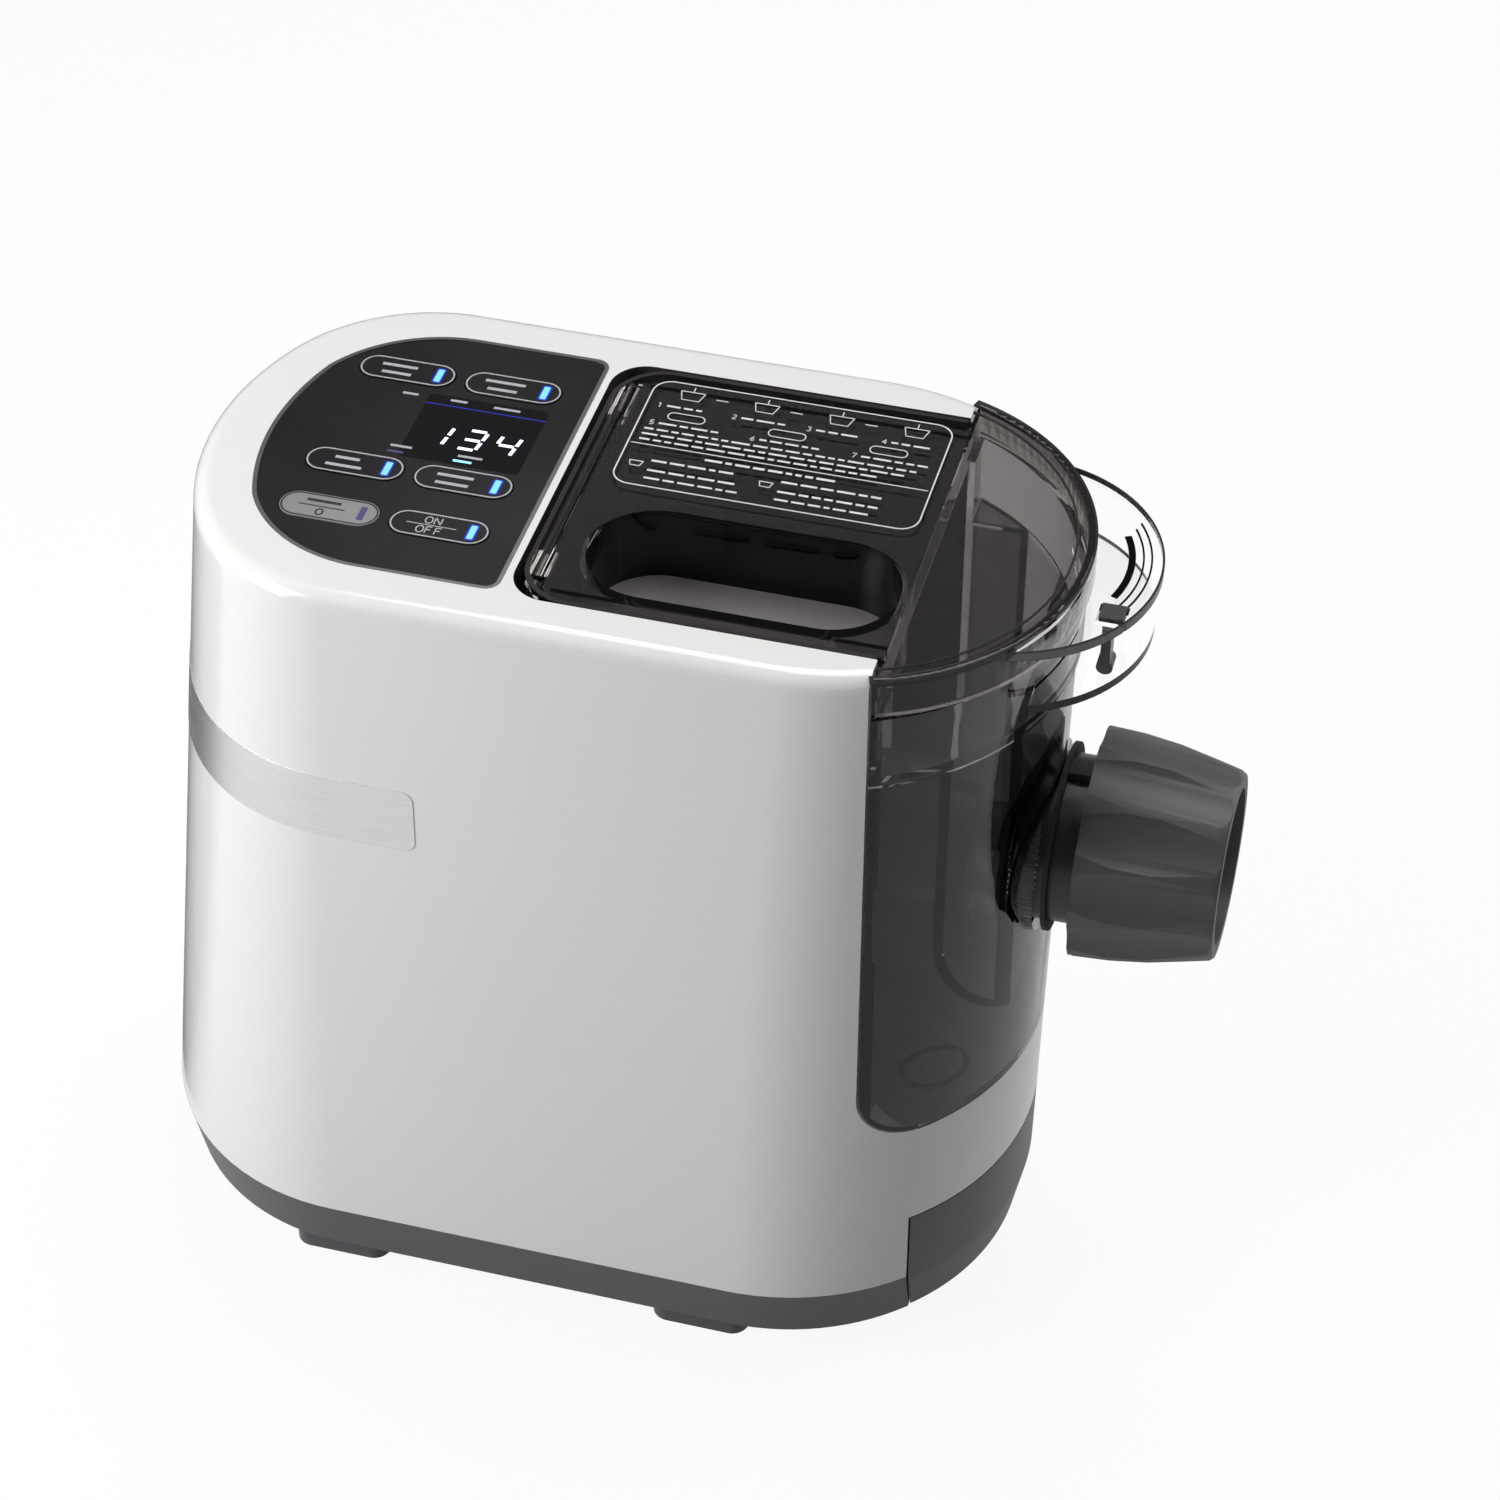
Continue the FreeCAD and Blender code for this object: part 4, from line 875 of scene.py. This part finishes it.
def makeLidEdge(s):
    # along one side, round its rear corner, and the same back along the other side
    corner = s["corner"]
    near = arcPath(s["rear"] + corner, corner - s["half"], corner, 270, 180, s["cornerSteps"])
    path = np.vstack([(s["front"], -s["half"]), near, near[::-1] * (1, -1), (s["front"], s["half"])])
    newPiece("lid_edge_line", *strip(path, s["width"], s["low"], s["high"]), "edgeSmoke", "lid")
    lines = []
    for radius, weight, half in s["rim"]:
        path = arcPath(rimCentre, 0.0, radius, -half, half, s["rimSteps"])
        lines.append(strip(path, weight, s["low"], s["high"]))
    newPiece("lid_rim_lines", *joined(lines), "edgeSmoke", "lid")


makeLidEdge(lidEdge)

# Grip arcs and edge line on the handle: each has its radius, weight, first and last angle

handle = {
    "centre": 0.1045, "low": 0.2986, "high": 0.2990,
    "grip": [(0.0385, 0.0022, -20, 26), (0.0420, 0.0006, -24, 30), (0.0445, 0.0006, -26, 33)],
    "edge": 0.0481, "edgeWeight": 0.0007, "edgeHalf": 80, "edgeSteps": 96,
    "edgeLow": 0.2958, "edgeHigh": 0.2988,
}


def makeHandleMarks(s):
    # arcs about the handle's centre
    marks = [strip(arcPath(s["centre"], 0.0, r, a, b), w, s["low"], s["high"]) for r, w, a, b in s["grip"]]
    newPiece("handle_grips", *joined(marks), "smokedDark", "lid")
    path = arcPath(s["centre"], 0.0, s["edge"], -s["edgeHalf"], s["edgeHalf"], s["edgeSteps"])
    newPiece("handle_edge", *strip(path, s["edgeWeight"], s["edgeLow"], s["edgeHigh"]), "edgeSmoke", "lid")


makeHandleMarks(handle)
print("lid marks made")

# Oval hollow boss behind the apron

boss = {
    "centre": (0.0430, 0.0), "radius": 0.0826, "turn": -44.0, "height": 0.129, "half": (0.0144, 0.0087),
    "tilt": -26.7, "wall": 0.0012, "from": 0.0015, "to": 0.0100, "floor": (0.0088, 0.0098), "steps": 48,
}


def oval(inset, depth, s):
    # an ellipse less the inset, tilted in a plane that faces along the turn, the depth inside the radius
    turn, tilt = math.radians(s["turn"]), math.radians(s["tilt"])
    out = np.array([math.cos(turn), math.sin(turn), 0.0])
    across = np.array([-math.sin(turn), math.cos(turn), 0.0])
    up = np.array([0.0, 0.0, 1.0])
    a = np.linspace(0, 2 * math.pi, s["steps"], endpoint=False)
    u = (s["half"][0] - inset) * np.cos(a)
    v = (s["half"][1] - inset) * np.sin(a)
    t, z = u * math.cos(tilt) - v * math.sin(tilt), u * math.sin(tilt) + v * math.cos(tilt)
    middle = np.array([*s["centre"], s["height"]]) + out * (s["radius"] - depth)
    return middle + t[:, None] * across + z[:, None] * up


def makeBoss(s):
    # a tube from two ovals, each at two depths, and a thin floor near its far end
    section = ((0, s["from"]), (s["wall"], s["from"]), (s["wall"], s["to"]), (0, s["to"]))
    tube = np.vstack([oval(inset, depth, s) for inset, depth in section])
    newPiece("apron_boss", tube, bands(4, s["steps"], True), "edgeSmoke", "bowl", True)
    floor = np.vstack([oval(s["wall"], depth, s) for depth in s["floor"]])
    newPiece("apron_boss_floor", floor, prism(s["steps"]), "edgeSmoke", "bowl")


makeBoss(boss)

# Small nubs beside the feet

nubs = {
    "radius": 0.0032, "low": 0.0058, "high": 0.0130, "reach": 0.0215, "inner": 0.003, "steps": 24,
    "rearBefore": -0.05,
}


def makeNubs(s):
    # a short cylinder beyond each foot, towards the nearer end and a little inward
    parts = []
    for name in ("rear_left", "rear_right", "front_left", "front_right"):
        low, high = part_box("foot_" + name)
        x, y = (low[0] + high[0]) / 2, (low[1] + high[1]) / 2
        away = -s["reach"] if x < s["rearBefore"] else s["reach"]
        inward = s["inner"] if y < 0 else -s["inner"]
        circle = arcPath(x + away, y + inward, s["radius"], 0, 360 - 360 / s["steps"], s["steps"])
        parts.append(plate(circle, s["low"], s["high"]))
    newPiece("foot_nubs", *joined(parts), "satinGrey", "housing")


makeNubs(nubs)
print("boss and nubs made")
